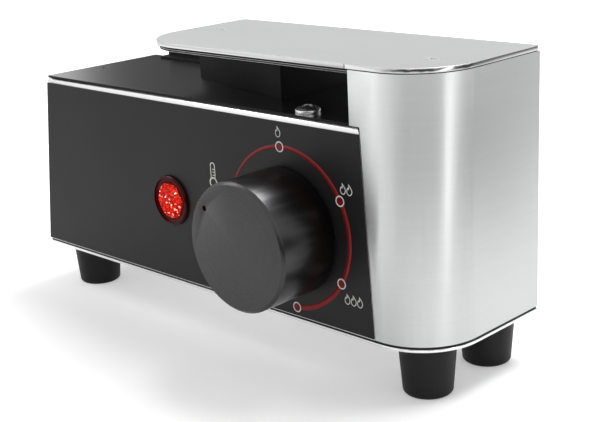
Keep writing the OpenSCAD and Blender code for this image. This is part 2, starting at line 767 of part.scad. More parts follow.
module thermostat_bracket() color("lightgray") difference() {
    xz(front_y + sheet_t, stat_bracket_t)
        translate([dial_x - bracket_w / 2, dial_z - bracket_h / 2]) square([bracket_w, bracket_h]);
    rod_y(dial_x, front_y, dial_z, spindle_d + 2 * run_fit, 5);
    for (s = [-1, 1])
        rod_y(dial_x + s * stat_screw_pitch / 2, front_y, dial_z, shank_d + 2 * run_fit, 5);
}

module thermostat_screws() color("silver") for (s = [-1, 1])
    translate([dial_x + s * stat_screw_pitch / 2, front_y - eps, dial_z]) rotate([90, 0, 0])
        pan_screw(5.4, 1.2, shank_d, sheet_t + stat_bracket_t + 4);

module sensor_bulb() color("#b87333")
    translate([bulb_x1 - bulb_len, heater_y - 5, clamp_z + clamp_t + bulb_d / 2 + eps]) rotate([0, 90, 0]) {
        cylinder(d = bulb_d, h = bulb_len - 3);
        translate([0, 0, bulb_len - 3]) cylinder(d1 = bulb_d, d2 = capillary_d + 1, h = 3);
    }

// a bent wire of straight lengths with ball corners
module wire(points, d) for (i = [0 : len(points) - 2]) {
    a = points[i];
    b = points[i + 1];
    v = b - a;
    l = norm(v);
    translate(a) rotate([0, acos(v[2] / l), atan2(v[1], v[0])]) cylinder(d = d, h = l, $fn = 96);
    if (i > 0) translate(a) sphere(d = d, $fn = 96);
}

module capillary_tube() color("#b87333") wire([
    [bulb_x1 + eps, heater_y - 5, clamp_z + clamp_t + bulb_d / 2],
    [clamp_x1 + 5, heater_y - 5, clamp_z + clamp_t + bulb_d / 2],
    [clamp_x1 + 5, heater_y - 5, board_z - 4],
    [dial_x, stat_y + stat_d / 2, board_z - 4],
    [dial_x, stat_y + stat_d / 2, dial_z + stat_w / 2 + eps]], capillary_d);

// ---- signal lamp ----

module lamp_bezel() color("#2a0c0c")
    translate([lamp_x, bezel_y - eps, lamp_z]) rotate([90, 0, 0]) rotate_extrude($fn = 64) difference() {
        polygon([
            [0, 0], [bezel_d / 2, 0], [bezel_d / 2, bezel_t - 0.7], [bezel_d / 2 - 0.7, bezel_t],
            [0, bezel_t]]);
        translate([-1, bezel_t - bezel_seat]) square([lens_d / 2 + run_fit + 1, bezel_t]);
        translate([-1, -1]) square([barrel_d / 2 - 2 + 1, bezel_t]);
    }

module lamp_lens() color("#d01010", 0.9)
    translate([lamp_x, bezel_y - bezel_t + bezel_seat - 2 * eps, lamp_z]) rotate([90, 0, 0])
    rotate_extrude($fn = 64) {
        rim = bezel_seat + 0.4;
        dome_r = (lens_d * lens_d / 4 + lens_h * lens_h) / (2 * lens_h);
        square([lens_d / 2, rim]);
        translate([0, rim - eps]) intersection() {
            square([lens_d / 2, lens_h]);
            translate([0, lens_h - dome_r]) circle(r = dome_r, $fn = 128);
        }
    }

module lamp_barrel() color("ivory") {
    difference() {
        rod_y(lamp_x, bezel_y + eps, lamp_z, barrel_d, overlay_t + sheet_t + barrel_len);
        rod_y(lamp_x, bezel_y - 1, lamp_z, barrel_d - 4, overlay_t + sheet_t + barrel_len - 3);
    }
    for (s = [-1, 1])
        translate([lamp_x + s * lamp_tab_at - lamp_tab[0] / 2, front_y + sheet_t + barrel_len,
                   lamp_z - lamp_tab[2] / 2]) cube(lamp_tab);
}

module lamp_nut() color("ivory") difference() {
    rod_y(lamp_x, front_y + sheet_t + eps, lamp_z, barrel_d + 2 * lamp_nut_wall, lamp_nut_t);
    rod_y(lamp_x, front_y, lamp_z, barrel_d + 2 * run_fit, sheet_t + lamp_nut_t + 1);
}

// ---- heater under the deck ----

module heater_element() color("#5a5048") translate([0, heater_y, element_z]) {
    for (s = [-1, 1]) translate([element_x0, s * element_pitch / 2, 0]) rotate([0, 90, 0]) {
        cylinder(d = element_d, h = element_x1 - element_x0);
        // ceramic end and terminal pin
        translate([0, 0, element_x1 - element_x0]) cylinder(d = element_d - 1.5, h = 4);
        translate([0, 0, element_x1 - element_x0 + 4]) cylinder(d = 2, h = 9);
    }
    translate([element_x0, 0, 0]) rotate(90) rotate_extrude(angle = 180, $fn = 64)
        translate([element_pitch / 2, 0]) circle(d = element_d, $fn = 32);
}

module element_clamp() color("lightgray") difference() {
    translate([clamp_x0, heater_y - clamp_half_w, clamp_z])
        cube([clamp_x1 - clamp_x0, 2 * clamp_half_w, clamp_t]);
    for (x = stud_x) translate([x, stud_y, clamp_z - 1])
        cylinder(d = stud_d + 2 * run_fit, h = clamp_t + 2);
}

// studs welded under the deck, with the nuts that hold clamp and board
module clamp_nuts() color("silver") for (x = stud_x) translate([x, stud_y, board_z]) {
    translate([0, 0, -nut_t - 1.5]) cylinder(d = stud_d, h = under_deck - board_z + nut_t + 1.5 - eps);
    translate([0, 0, -nut_t - eps]) difference() {
        cylinder(d = nut_d - 1, h = nut_t, $fn = 6);
        translate([0, 0, -1]) cylinder(d = stud_d - eps, h = nut_t + 2);
    }
}

module insulation_board() color("tan") difference() {
    translate([clamp_x0, heater_y - clamp_half_w + 1, board_z])
        cube([clamp_x1 - clamp_x0, 2 * clamp_half_w - 2, board_t - eps]);
    translate([cutout_x, cutout_y, board_z - 1]) cylinder(d = cutout_d + 2, h = board_t + 2);
    for (x = stud_x) translate([x, stud_y, board_z - 1]) cylinder(d = stud_d + 2 * run_fit, h = board_t + 2);
}

module thermal_cutout() color("#1c1c1c") translate([cutout_x, cutout_y, clamp_z - eps]) {
    translate([0, 0, -cutout_h]) cylinder(d = cutout_d, h = cutout_h);
    for (s = [-1, 1]) translate([s * 4 - 0.4, -2.4, -cutout_h - 7]) cube([0.8, 4.8, 7 + eps]);
}

// ---- mains ----

module terminal_block() color("ivory") translate([block_x, block_y, seal_z + eps]) difference() {
    cube([block_w, block_d, block_h]);
    for (i = [0 : 2]) translate([block_w * (i + 0.5) / 3, 0, 0]) {
        for (y = [block_pole_in, block_d - block_pole_in])
            translate([0, y, block_h - block_pole_in]) cylinder(d = block_pole_d, h = block_pole_in + 1);
        translate([0, -1, block_pole_in]) rotate([-90, 0, 0]) cylinder(d = block_wire_d, h = block_pole_in);
    }
}

module earth_stud() color("goldenrod") translate([earth_x, earth_y, base_z]) {
    translate([0, 0, 0.1]) cylinder(d = earth_d, h = 14);
    translate([0, 0, base_t + eps]) difference() {
        union() {
            cylinder(d = nut_d + 2, h = 1);
            translate([0, 0, 1 - eps]) cylinder(d = nut_d + 1, h = 3, $fn = 6);
        }
        translate([0, 0, -1]) cylinder(d = earth_d + run_fit, h = 6);
    }
}

module mains_inlet() color("#151515") difference() {
    wall = 2;
    union() {
        // flange with two ears
        xz(back_y + eps, inlet_flange_t) translate([inlet_x, inlet_z]) {
            translate([-socket_w / 2 - 4, -socket_h / 2 - 4]) square([socket_w + 8, socket_h + 8]);
            polygon([
                [-inlet_screw_pitch / 2 - 2, -4], [-socket_w / 2 - 4, -socket_h / 2 - 4],
                [socket_w / 2 + 4, -socket_h / 2 - 4], [inlet_screw_pitch / 2 + 2, -4],
                [inlet_screw_pitch / 2 + 2, 4], [socket_w / 2 + 4, socket_h / 2 + 4],
                [-socket_w / 2 - 4, socket_h / 2 + 4], [-inlet_screw_pitch / 2 - 2, 4]]);
            for (s = [-1, 1]) translate([s * (inlet_screw_pitch / 2 + 1), 0]) circle(d = 8.4);
        }
        // box behind the panel
        translate([inlet_x - socket_w / 2 - wall, back_y - socket_deep, inlet_z - socket_h / 2 - wall])
            cube([socket_w + 2 * wall, socket_deep + 2 * eps, socket_h + 2 * wall]);
    }
    // cavity that takes the connector, with its two cut corners
    w = socket_w / 2;
    h = socket_h / 2;
    cut = 5;
    xz(back_y + inlet_flange_t - socket_deep, socket_deep + 1) translate([inlet_x, inlet_z])
        polygon([[-w, -h], [w, -h], [w, h - cut], [w - cut, h], [-w + cut, h], [-w, h - cut]]);
    // slits for the three contacts in the cavity's floor
    for (p = inlet_pin_at)
        translate([inlet_x + p[0] - inlet_pin[1] / 2 - eps, back_y - socket_deep - 1,
                   inlet_z + p[1] - inlet_pin[0] / 2 - eps])
            cube([inlet_pin[1] + 2 * eps, inlet_flange_t + 2, inlet_pin[0] + 2 * eps]);
    for (s = [-1, 1]) {
        x = inlet_x + s * inlet_screw_pitch / 2;
        rod_y(x, back_y - 1, inlet_z, shank_d + 2 * run_fit, inlet_flange_t + 2);
        translate([x, back_y + inlet_flange_t + eps, inlet_z]) rotate([90, 0, 0])
            cylinder(d1 = head_d + 2 * run_fit, d2 = shank_d + 2 * run_fit, h = inlet_sink);
    }
}

// flat contacts, the middle one for earth set higher, with thinner tabs behind for the wires
module inlet_pins() color("goldenrod") for (p = inlet_pin_at) {
    z = inlet_z + p[1] - inlet_pin[0] / 2;
    translate([inlet_x + p[0] - inlet_pin[1] / 2, back_y - socket_deep - eps, z])
        cube([inlet_pin[1], inlet_flange_t + inlet_pin_out, inlet_pin[0]]);
    translate([inlet_x + p[0] - inlet_tab_t / 2, back_y - socket_deep - inlet_tab_len, z])
        cube([inlet_tab_t, inlet_tab_len, inlet_pin[0]]);
}

module inlet_screws() color("silver") for (s = [-1, 1])
    translate([inlet_x + s * inlet_screw_pitch / 2, back_y + inlet_flange_t - eps, inlet_z])
        rotate([-90, 0, 0]) flush_screw(head_d, inlet_sink, shank_d, inlet_flange_t + sheet_t + 4);

// ---- screws in view ----

module deck_screw() color("silver")
    translate([right_x - deck_screw_out, front_y + deck_screw_in, deck_z + eps])
        pan_screw(deck_head_d, deck_head_h, deck_shank_d, deck_t + sheet_t + 6);

module deck_small_screws() color("#303030") for (p = deck_small_at)
    translate([p[0], p[1], deck_z]) flush_screw(deck_small_d, deck_small_sink, deck_small_shank, deck_t + 4);

module lid_screws() color("silver") for (p = lid_screw_at)
    translate([p[0], p[1], lid_top]) flush_screw(lid_screw_d, lid_screw_sink, shank_d, lid_screw_len);

module base_screws() color("silver")
    for (x = base_screw_x, y = [front_y + base_screw_in, back_y - base_screw_in])
        translate([x, y, base_z - eps]) mirror([0, 0, 1])
            pan_screw(head_d, head_h, shank_d, base_t + seal_t + sheet_t + 4);

module back_screws() color("silver") for (x = back_screw_x, u = back_screw_up)
    translate([x, back_y + eps, base_z + u]) rotate([-90, 0, 0])
        pan_screw(head_d, head_h, shank_d, sheet_t + 5);

base_plate();
base_seal();
front_panel();
panel_overlay();
left_end_panel();
back_panel();
end_skin();
deck_plate();
end_wall();
pedestal();
rear_upstand();
lid_plate();
lid_gasket();
lid_insulation();
lid_liner();
rubber_feet();
foot_washers();
foot_screws();
control_knob();
knob_bushing();
knob_grub_screw();
thermostat_spindle();
thermostat_body();
thermostat_bracket();
thermostat_screws();
sensor_bulb();
capillary_tube();
lamp_lens();
lamp_bezel();
lamp_barrel();
lamp_nut();
heater_element();
element_clamp();
clamp_nuts();
insulation_board();
thermal_cutout();
terminal_block();
earth_stud();
mains_inlet();
inlet_pins();
inlet_screws();
deck_screw();
deck_small_screws();
lid_screws();
base_screws();
back_screws();
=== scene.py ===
import json
import math
import random

import bmesh
import bpy
from mathutils import Matrix, Vector


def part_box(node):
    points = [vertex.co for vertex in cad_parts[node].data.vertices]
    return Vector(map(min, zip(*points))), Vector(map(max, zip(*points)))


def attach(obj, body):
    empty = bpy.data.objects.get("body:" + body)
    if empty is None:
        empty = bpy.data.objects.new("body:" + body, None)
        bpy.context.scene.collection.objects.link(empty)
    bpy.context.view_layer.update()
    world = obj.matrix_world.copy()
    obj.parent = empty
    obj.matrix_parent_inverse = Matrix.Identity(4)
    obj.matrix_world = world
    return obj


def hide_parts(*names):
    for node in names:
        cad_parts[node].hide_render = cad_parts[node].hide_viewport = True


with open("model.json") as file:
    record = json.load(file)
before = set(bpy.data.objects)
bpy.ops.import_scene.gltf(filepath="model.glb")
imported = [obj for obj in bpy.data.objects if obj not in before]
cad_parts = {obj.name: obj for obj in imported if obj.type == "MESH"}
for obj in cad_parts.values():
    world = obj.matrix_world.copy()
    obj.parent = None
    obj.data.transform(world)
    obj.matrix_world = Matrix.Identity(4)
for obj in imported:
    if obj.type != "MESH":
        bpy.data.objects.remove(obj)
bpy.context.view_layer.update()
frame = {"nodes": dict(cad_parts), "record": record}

MM = 0.001


# ---- camera ----
# A long lens, a little above the bench, from the front right. The camera leans by a small
# roll, as a hand-held one does, and looks at the object without any shift.

CAMERA_AT = Vector((390.0, -352.6, 212.1)) * MM
CAMERA_TURN = math.radians(44.99)
CAMERA_RISE = math.radians(16.78)
CAMERA_ROLL = math.radians(-2.85)
LENS_MM = 71.95
SENSOR_MM = 36.0

camera = bpy.data.objects.new("camera", bpy.data.cameras.new("camera"))
bpy.context.scene.collection.objects.link(camera)
bpy.context.scene.camera = camera
camera.data.lens = LENS_MM
camera.data.sensor_width = SENSOR_MM
camera.data.clip_start = 0.01
behind = Vector((math.sin(CAMERA_TURN) * math.cos(CAMERA_RISE),
                 -math.cos(CAMERA_TURN) * math.cos(CAMERA_RISE), math.sin(CAMERA_RISE)))
level = Vector((math.cos(CAMERA_TURN), math.sin(CAMERA_TURN), 0))
over = behind.cross(level)
side = level * math.cos(CAMERA_ROLL) + over * math.sin(CAMERA_ROLL)
up = over * math.cos(CAMERA_ROLL) - level * math.sin(CAMERA_ROLL)
camera.matrix_world = Matrix.Translation(CAMERA_AT) @ Matrix((side, up, behind)).transposed().to_4x4()


# ---- room and floor ----
# A white floor under an even white room. A black card to the right with a lit gap in it, and a
# low one far behind, are painted into what metal sees of the room and floor: painted reflections
# that give the steel its light and dark.

bpy.context.scene.view_settings.view_transform = "Standard"
# A level of 1 is white. A pair is where a soft change starts and ends: in metres from the middle
# of the studio for the floor, and by the share toward a direction, or upward, for the cards.
ROOM_LIGHT = 0.56
FLOOR_REACH = 6.0
FLOOR_COLOUR = 0.82
FLOOR_LIFT = 0.31
FAR_LIFT = 0.4
FAR_FROM = (0.16, 0.36)
STUDIO_MIDDLE = Vector((0.1, 0.0, 0.0))
CARD_TOWARD = Vector((0.94, -0.342, 0.0))
CARD_SPREAD = (-0.3, 0.55)
CARD_LEVEL = 0.07
CARD_FADE = (0.12, 0.5)
CARD_TOP = (0.0, 0.3)
GAP_TOWARD = Vector((0.995, -0.1, 0.0))
GAP_NARROW = 60.0
GAP_LEVEL = 1.9
NEAR_LEVEL = 0.85
BACK_CARD_TOWARD = Vector((0.0, 1.0, 0.0))
BACK_CARD_EDGE = Vector((0.571, 0.821, 0.0))
BACK_CARD_SOFT = 0.02
BACK_CARD_END = (0.6, 0.75)
BACK_CARD_BEHIND = (0.0, 0.1)
BACK_CARD_TOP = (0.33, 0.42)
BACK_CARD_LEVEL = 0.05
LAMP_SHEEN = 0.1


def new_nodes(tree):
    """Empties a node tree and returns a function that adds a node, sets its inputs and links them."""
    tree.nodes.clear()

    def add(kind, inputs=None, **settings):
        node = tree.nodes.new(kind)
        for key, value in settings.items():
            setattr(node, key, value)
        for key, value in (inputs or {}).items():
            if isinstance(value, bpy.types.NodeSocket):
                tree.links.new(value, node.inputs[key])
            else:
                node.inputs[key].default_value = value
        return node

    return add


def maths(add, operation, *values):
    """One sum on numbers or sockets."""
    return add("ShaderNodeMath", dict(enumerate(values)), operation=operation).outputs[0]


def ramp(add, value, low, high, at_low, at_high):
    """Goes smoothly from at_low to at_high as the value goes from low to high."""
    return add("ShaderNodeMapRange", {"Value": value, "From Min": low, "From Max": high, "To Min": at_low,
                                      "To Max": at_high}, interpolation_type="SMOOTHSTEP").outputs[0]


def blend(add, share, first, second):
    """The first number at a share of 0 and the second at 1."""
    return add("ShaderNodeMix", {0: share, 2: first, 3: second}, data_type="FLOAT").outputs[0]


def share_toward(add, flat, direction):
    """1 straight toward a level direction, 0 across it and -1 away from it."""
    return add("ShaderNodeVectorMath", {0: flat, 1: direction}, operation="DOT_PRODUCT").outputs["Value"]


def level_direction(add, vector):
    """The vector's own direction, laid level."""
    laid = add("ShaderNodeVectorMath", {0: vector, 1: (1.0, 1.0, 0.0)}, operation="MULTIPLY")
    return add("ShaderNodeVectorMath", {0: laid.outputs[0]}, operation="NORMALIZE").outputs[0]


def card_tone(add, flat):
    """The black card's dark and the lit gap in it, by the level direction in which they are seen."""
    card = ramp(add, share_toward(add, flat, CARD_TOWARD), *CARD_SPREAD, 1.0, CARD_LEVEL)
    gap = maths(add, "POWER", maths(add, "MAXIMUM", share_toward(add, flat, GAP_TOWARD), 0.0), GAP_NARROW)
    return maths(add, "ADD", card, maths(add, "MULTIPLY", gap, GAP_LEVEL))


world = bpy.data.worlds.new("studio")
bpy.context.scene.world = world
world.use_nodes = True
add = new_nodes(world.node_tree)
looking = add("ShaderNodeTexCoord").outputs["Generated"]
height = add("ShaderNodeSeparateXYZ", {0: looking}).outputs["Z"]
flat = level_direction(add, looking)
# The cards are painted into the room as metal sees it: painted reflections, not lamps or things.
past_edge = share_toward(add, flat, BACK_CARD_EDGE)
card = ramp(add, past_edge, -BACK_CARD_SOFT, BACK_CARD_SOFT, 0.0, 1.0)
for part in (ramp(add, past_edge, *BACK_CARD_END, 1.0, 0.0),
             ramp(add, share_toward(add, flat, BACK_CARD_TOWARD), *BACK_CARD_BEHIND, 0.0, 1.0),
             ramp(add, height, *BACK_CARD_TOP, 1.0, 0.0)):
    card = maths(add, "MULTIPLY", card, part)
mirrored = maths(add, "SUBTRACT", 1.0, maths(add, "MULTIPLY", card, 1.0 - BACK_CARD_LEVEL))
over_card = ramp(add, height, *CARD_TOP, 0.0, 1.0)
low_tone = blend(add, over_card, card_tone(add, flat), 1.0)
mirrored = maths(add, "MULTIPLY", mirrored, low_tone)
path = add("ShaderNodeLightPath")
lit = add("ShaderNodeBackground", {"Color": (1, 1, 1, 1), "Strength": ROOM_LIGHT})
white = add("ShaderNodeBackground", {"Color": (1, 1, 1, 1), "Strength": 1.0})
seen_in_metal = add("ShaderNodeBackground", {"Color": mirrored, "Strength": 1.0})
straight = maths(add, "MAXIMUM", path.outputs["Is Camera Ray"], path.outputs["Is Transmission Ray"])
mixed = add("ShaderNodeMixShader", {0: straight, 1: lit.outputs[0], 2: white.outputs[0]})
mixed = add("ShaderNodeMixShader", {0: path.outputs["Is Glossy Ray"], 1: mixed.outputs[0],
                                    2: seen_in_metal.outputs[0]})
add("ShaderNodeOutputWorld", {"Surface": mixed.outputs[0]})


def soft_box(name, at, aim, width, height, watts):
    """A rectangular lamp at a place, turned to face a point."""
    lamp = bpy.data.objects.new(name, bpy.data.lights.new(name, "AREA"))
    bpy.context.scene.collection.objects.link(lamp)
    lamp.data.shape = "RECTANGLE"
    lamp.data.size = width
    lamp.data.size_y = height
    lamp.data.energy = watts
    lamp.data.specular_factor = LAMP_SHEEN
    lamp.location = at
    lamp.rotation_mode = "QUATERNION"
    lamp.rotation_quaternion = (Vector(aim) - Vector(at)).to_track_quat("-Z", "Y")


soft_box("back_box", at=(0.16, 0.34, 0.9), aim=(0, 0, 0.05), width=0.45, height=0.4, watts=7.5)
soft_box("key_box", at=(-0.56, -0.28, 0.65), aim=(0, 0, 0.08), width=0.3, height=0.3, watts=1.0)

# The floor's shadows stay, as its own light is only added to what falls on it.
floor_mesh = bpy.data.meshes.new("floor")
floor_corners = [(x * FLOOR_REACH, y * FLOOR_REACH, 0) for x, y in ((-1, -1), (1, -1), (1, 1), (-1, 1))]
floor_mesh.from_pydata(floor_corners, [], [(0, 1, 2, 3)])
floor = bpy.data.objects.new("floor", floor_mesh)
bpy.context.scene.collection.objects.link(floor)
sweep = bpy.data.materials.new("studio_sweep")
sweep.use_nodes = True
add = new_nodes(sweep.node_tree)
spot = add("ShaderNodeTexCoord").outputs["Object"]
from_middle = add("ShaderNodeVectorMath", {0: spot, 1: STUDIO_MIDDLE}, operation="SUBTRACT").outputs[0]
distance = add("ShaderNodeVectorMath", {0: from_middle}, operation="LENGTH").outputs["Value"]
# Painted reflection: as metal sees it, the floor is darkened by direction into the cards, and nearer the
# object by NEAR_LEVEL.
far_tone = card_tone(add, level_direction(add, from_middle))
away = ramp(add, distance, *CARD_FADE, 0.0, 1.0)
mirrored = blend(add, away, NEAR_LEVEL, far_tone)
path = add("ShaderNodeLightPath")
tone = blend(add, path.outputs["Is Glossy Ray"], 1.0, mirrored)
paper = add("ShaderNodeBsdfDiffuse", {"Color": maths(add, "MULTIPLY", tone, FLOOR_COLOUR)})
far_lift = ramp(add, distance, *FAR_FROM, 0.0, FAR_LIFT)
far_lift = maths(add, "MULTIPLY", far_lift, path.outputs["Is Camera Ray"])
lift = add("ShaderNodeEmission", {"Color": tone, "Strength": maths(add, "ADD", far_lift, FLOOR_LIFT)})
both = add("ShaderNodeAddShader", {0: paper.outputs[0], 1: lift.outputs[0]})
seen = maths(add, "MAXIMUM", path.outputs["Is Camera Ray"], path.outputs["Is Glossy Ray"])
seen = maths(add, "MAXIMUM", seen, path.outputs["Is Transmission Ray"])
mixed = add("ShaderNodeMixShader", {0: seen, 1: paper.outputs[0], 2: both.outputs[0]})
add("ShaderNodeOutputMaterial", {"Surface": mixed.outputs[0]})
floor_mesh.materials.append(sweep)


# ---- stainless casing ----
# Panels, end skin and base are cut and folded from 1 mm stainless sheet, brushed along its
# length. The cut edges are broken with a file. The front panel and base are polished smoother, and
# their steel is lighter than real steel, a painted highlight for the bright bend over the panel.

STEEL = (0.74, 0.745, 0.745)
POLISH_AND_HIGHLIGHT_STEEL = (0.9, 0.9, 0.9)
SKIN_ROUGH = 0.4
BEND_ROUGH = 0.2
BEND_LINES = (20.0, 900.0, 900.0)
GRAIN_PER_METRE = 2600.0
STREAKS_PER_METRE = 12.0
# How edges are broken, in millimetres and degrees: the round's width, how near points are merged,
# up to where faces count as one and from where an edge is sharp, and which edges belong to a curve.
EDGE_BREAK = 0.12
MERGE_WITHIN = 0.002
FLAT_WITHIN = 0.5
SHARP_FROM = 35.0
LEVEL_WITHIN = 0.3
ROUND_FROM = 9.0
BACK_LEFT = -101.0 * MM
slot_of = {part["node"]: part["material_slot"] for part in frame["record"]["subparts"]}


def shared_effect(name, inputs, outputs, build):
    """A shader node group with named inputs and outputs, which build fills with nodes."""
    group = bpy.data.node_groups.new(name, "ShaderNodeTree")
    for label, kind, value in inputs:
        socket = group.interface.new_socket(name=label, in_out="INPUT", socket_type=kind)
        if value is not None:
            socket.default_value = value
    for label, kind in outputs:
        group.interface.new_socket(name=label, in_out="OUTPUT", socket_type=kind)
    add = new_nodes(group)
    build(add, add("NodeGroupInput").outputs, add("NodeGroupOutput").inputs, group.links.new)
    return group


def build_brush(add, given, out, link):
    """Long fine scratches along one axis, with slow wide bands in them."""
    spread = add("ShaderNodeVectorMath", {0: given["Vector"], 1: given["Lines per metre"]},
                 operation="MULTIPLY").outputs[0]
    fine = add("ShaderNodeTexNoise", {"Vector": spread, "Scale": 1.0, "Detail": 3.0, "Roughness": 0.65})
    wide_scale = add("ShaderNodeVectorMath", {0: spread, 1: (0.15, 0.15, 0.15)}, operation="MULTIPLY")
    wide = add("ShaderNodeTexNoise", {"Vector": wide_scale.outputs[0], "Scale": 1.0, "Detail": 2.0})
    link(blend(add, 0.4, fine.outputs["Fac"], wide.outputs["Fac"]), out["Lines"])
    link(fine.outputs["Fac"], out["Height"])


BRUSH = shared_effect(
    "brushed_lines",
    [("Vector", "NodeSocketVector", None), ("Lines per metre", "NodeSocketVector", (20.0, 4000.0, 4000.0))],
    [("Lines", "NodeSocketFloat"), ("Height", "NodeSocketFloat")], build_brush)


def new_material(name):
    """An empty material, the function that adds nodes to it, and its object coordinates."""
    made = bpy.data.materials.new(name)
    made.use_nodes = True
    add = new_nodes(made.node_tree)
    return made, add, add("ShaderNodeTexCoord").outputs["Object"]


def spread_value(add, value, low, high):
    """Maps a 0 to 1 value that changes over the surface to the range low to high."""
    return add("ShaderNodeMapRange", {"Value": value, "From Min": 0.3, "From Max": 0.7,
                                      "To Min": low, "To Max": high}).outputs[0]


def spread_colour(add, value, low, high):
    """Blends between two colours by a value that changes over the surface."""
    return add("ShaderNodeMix", {0: value, 6: (*low, 1), 7: (*high, 1)}, data_type="RGBA").outputs[2]


def shallow_relief(add, height, depth):
    """A bump of this depth in millimetres, at half its strength."""
    return add("ShaderNodeBump", {"Height": height, "Distance": depth * MM, "Strength": 0.5}).outputs[0]


def close_material(add, **inputs):
    """The Principled shader with these inputs, on the material's output."""
    shader = add("ShaderNodeBsdfPrincipled", {key.replace("_", " "): value for key, value in inputs.items()})
    add("ShaderNodeOutputMaterial", {"Surface": shader.outputs[0]})


def brushed_metal(name, lines, across, colour, rough, ripple=0.06, one_way=0.8, bump=0.004):
    """Metal with a machine brush. lines has few lines per metre along it, and across is the way over it."""
    made, add, place = new_material(name)
    brush = add("ShaderNodeGroup", {"Vector": place, "Lines per metre": lines}, node_tree=BRUSH)
    relief = shallow_relief(add, brush.outputs["Height"], bump)
    over_brush = add("ShaderNodeCombineXYZ", dict(enumerate(across)))
    close_material(
        add, Base_Color=spread_colour(add, brush.outputs["Lines"], [c * (1 - ripple) for c in colour],
                                      [c * (1 + ripple) for c in colour]),
        Roughness=spread_value(add, brush.outputs["Lines"], rough * 0.93, rough * 1.07), Metallic=1.0,
        Anisotropic=one_way, Tangent=over_brush.outputs[0], Normal=relief)
    return made


def stand_in(name, mesh, slot, body, *nodes):
    """Puts a finished mesh on its body, in place of the CAD nodes that it stands for."""
    made = bpy.data.objects.new(name, mesh)
    bpy.context.scene.collection.objects.link(made)
    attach(made, body)
    if nodes:
        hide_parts(*nodes)
    return made


def plain_mesh(name, holder):
    """The holder's mesh with its modifiers worked in. The holder is removed."""
    bpy.context.scene.collection.objects.link(holder)
    solid = bpy.data.meshes.new_from_object(holder.evaluated_get(bpy.context.evaluated_depsgraph_get()))
    bpy.data.objects.remove(holder)
    solid.name = name
    return solid


def level_planes(mesh):
    """Gives the corners of truly flat faces the face's own normal, so that no soft shade creeps over them."""
    work = bmesh.new()
    work.from_mesh(mesh)
    low, high = math.radians(LEVEL_WITHIN), math.radians(ROUND_FROM)
    flat = {face.index for face in work.faces
            if not any(low < edge.calc_face_angle(0) < high for edge in face.edges)}
    work.free()
    normals = [corner.vector.copy() for corner in mesh.corner_normals]
    for face in mesh.polygons:
        if face.index in flat:
            for corner in face.loop_indices:
                normals[corner] = face.normal.copy()
    mesh.normals_split_custom_set(normals)


def knife_between(low, high):
    """A box from corner to corner, to cut with."""
    level = ((low[0], low[1]), (high[0], low[1]), (high[0], high[1]), (low[0], high[1]))
    sides = [(i, (i + 1) % 4, (i + 1) % 4 + 4, i + 4) for i in range(4)]
    mesh = bpy.data.meshes.new("knife")
    mesh.from_pydata([(x, y, z) for z in (low[2], high[2]) for x, y in level], [],
                     [(3, 2, 1, 0), (4, 5, 6, 7), *sides])
    return bpy.data.objects.new("knife", mesh)


def eased(node, material, width=EDGE_BREAK, body="casing", rounds=2, off=None):
    """The CAD node's own solid with sharp edges broken by a small round, without what is in the box off."""
    work = bmesh.new()
    work.from_mesh(frame["nodes"][node].data)
    bmesh.ops.remove_doubles(work, verts=work.verts, dist=MERGE_WITHIN * MM)
    bmesh.ops.dissolve_limit(work, angle_limit=math.radians(FLAT_WITHIN), verts=work.verts, edges=work.edges)
    for face in work.faces:
        face.smooth = True
        face.material_index = 0
    mesh = bpy.data.meshes.new(node)
    work.to_mesh(mesh)
    work.free()
    mesh.materials.append(material)
    holder = bpy.data.objects.new(node + "_holder", mesh)
    if off:
        knife = knife_between(*off)
        cut = holder.modifiers.new("cut", "BOOLEAN")
        cut.operation = "DIFFERENCE"
        cut.object = knife
    edge = holder.modifiers.new("edge", "BEVEL")
    edge.width = width * MM
    edge.segments = rounds
    edge.limit_method = "ANGLE"
    edge.angle_limit = math.radians(SHARP_FROM)
    edge.harden_normals = True
    solid = plain_mesh(node + "_eased", holder)
    level_planes(solid)
    if off:
        bpy.data.objects.remove(knife)
    return stand_in(node + "_eased", solid, slot_of[node], body, node)


def other_side(made, material, belongs):
    """Gives this material to the faces of a piece for which belongs(normal, centre) holds."""
    made.data.materials.append(material)
    last = len(made.data.materials) - 1
    for face in made.data.polygons:
        if belongs(face.normal, face.center):
            face.material_index = last


skin_steel = brushed_metal("skin_brushed_steel", (STREAKS_PER_METRE, STREAKS_PER_METRE, GRAIN_PER_METRE),
                           (0, 0, 1), STEEL, SKIN_ROUGH, one_way=0.85)
for node in ("end_skin", "left_end_panel", "end_wall"):
    eased(node, skin_steel)
deck_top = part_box("deck_plate")[1].z
eased("back_panel", skin_steel, off=((-1, -1, deck_top), (BACK_LEFT, 1, 1)))
# Front panel and base: the smoother polish is real, and the lighter colour is a painted highlight on the
# bend.
polish_and_highlight_steel = brushed_metal("bright_bend_steel", BEND_LINES, (0, 0.7, 0.7), POLISH_AND_HIGHLIGHT_STEEL, BEND_ROUGH,
                           ripple=0.02, one_way=0.4)
for node in ("front_panel", "base_plate"):
    eased(node, polish_and_highlight_steel)


# ---- stainless lid ----
# A flat plate over a thin liner and a mat, brushed from end to end on top. Its rim is
# polished, and a joint in the rim shows where the end housing starts.

LID_ROUGH = 0.42
RIM_ROUGH = 0.1
LID_STEEL = (0.68, 0.685, 0.685)
RIM_STEEL = (0.7, 0.7, 0.7)
FILED_SHADE_STEEL = (0.5, 0.5, 0.5)
SHADED_STEEL = (0.05, 0.05, 0.05)
RIM_LINES = (15.0, 15.0, 1500.0)
LINER_LINES = (STREAKS_PER_METRE, 1500.0, 1500.0)
UPRIGHT_BELOW = 0.2
LYING_FROM = 0.98


def upright(normal, centre):
    """Holds for a face that stands upright."""
    return abs(normal.z) < UPRIGHT_BELOW


def slanted(normal, centre):
    """Holds for a face that neither stands upright nor lies flat, as the round of an edge does."""
    return UPRIGHT_BELOW <= abs(normal.z) < LYING_FROM


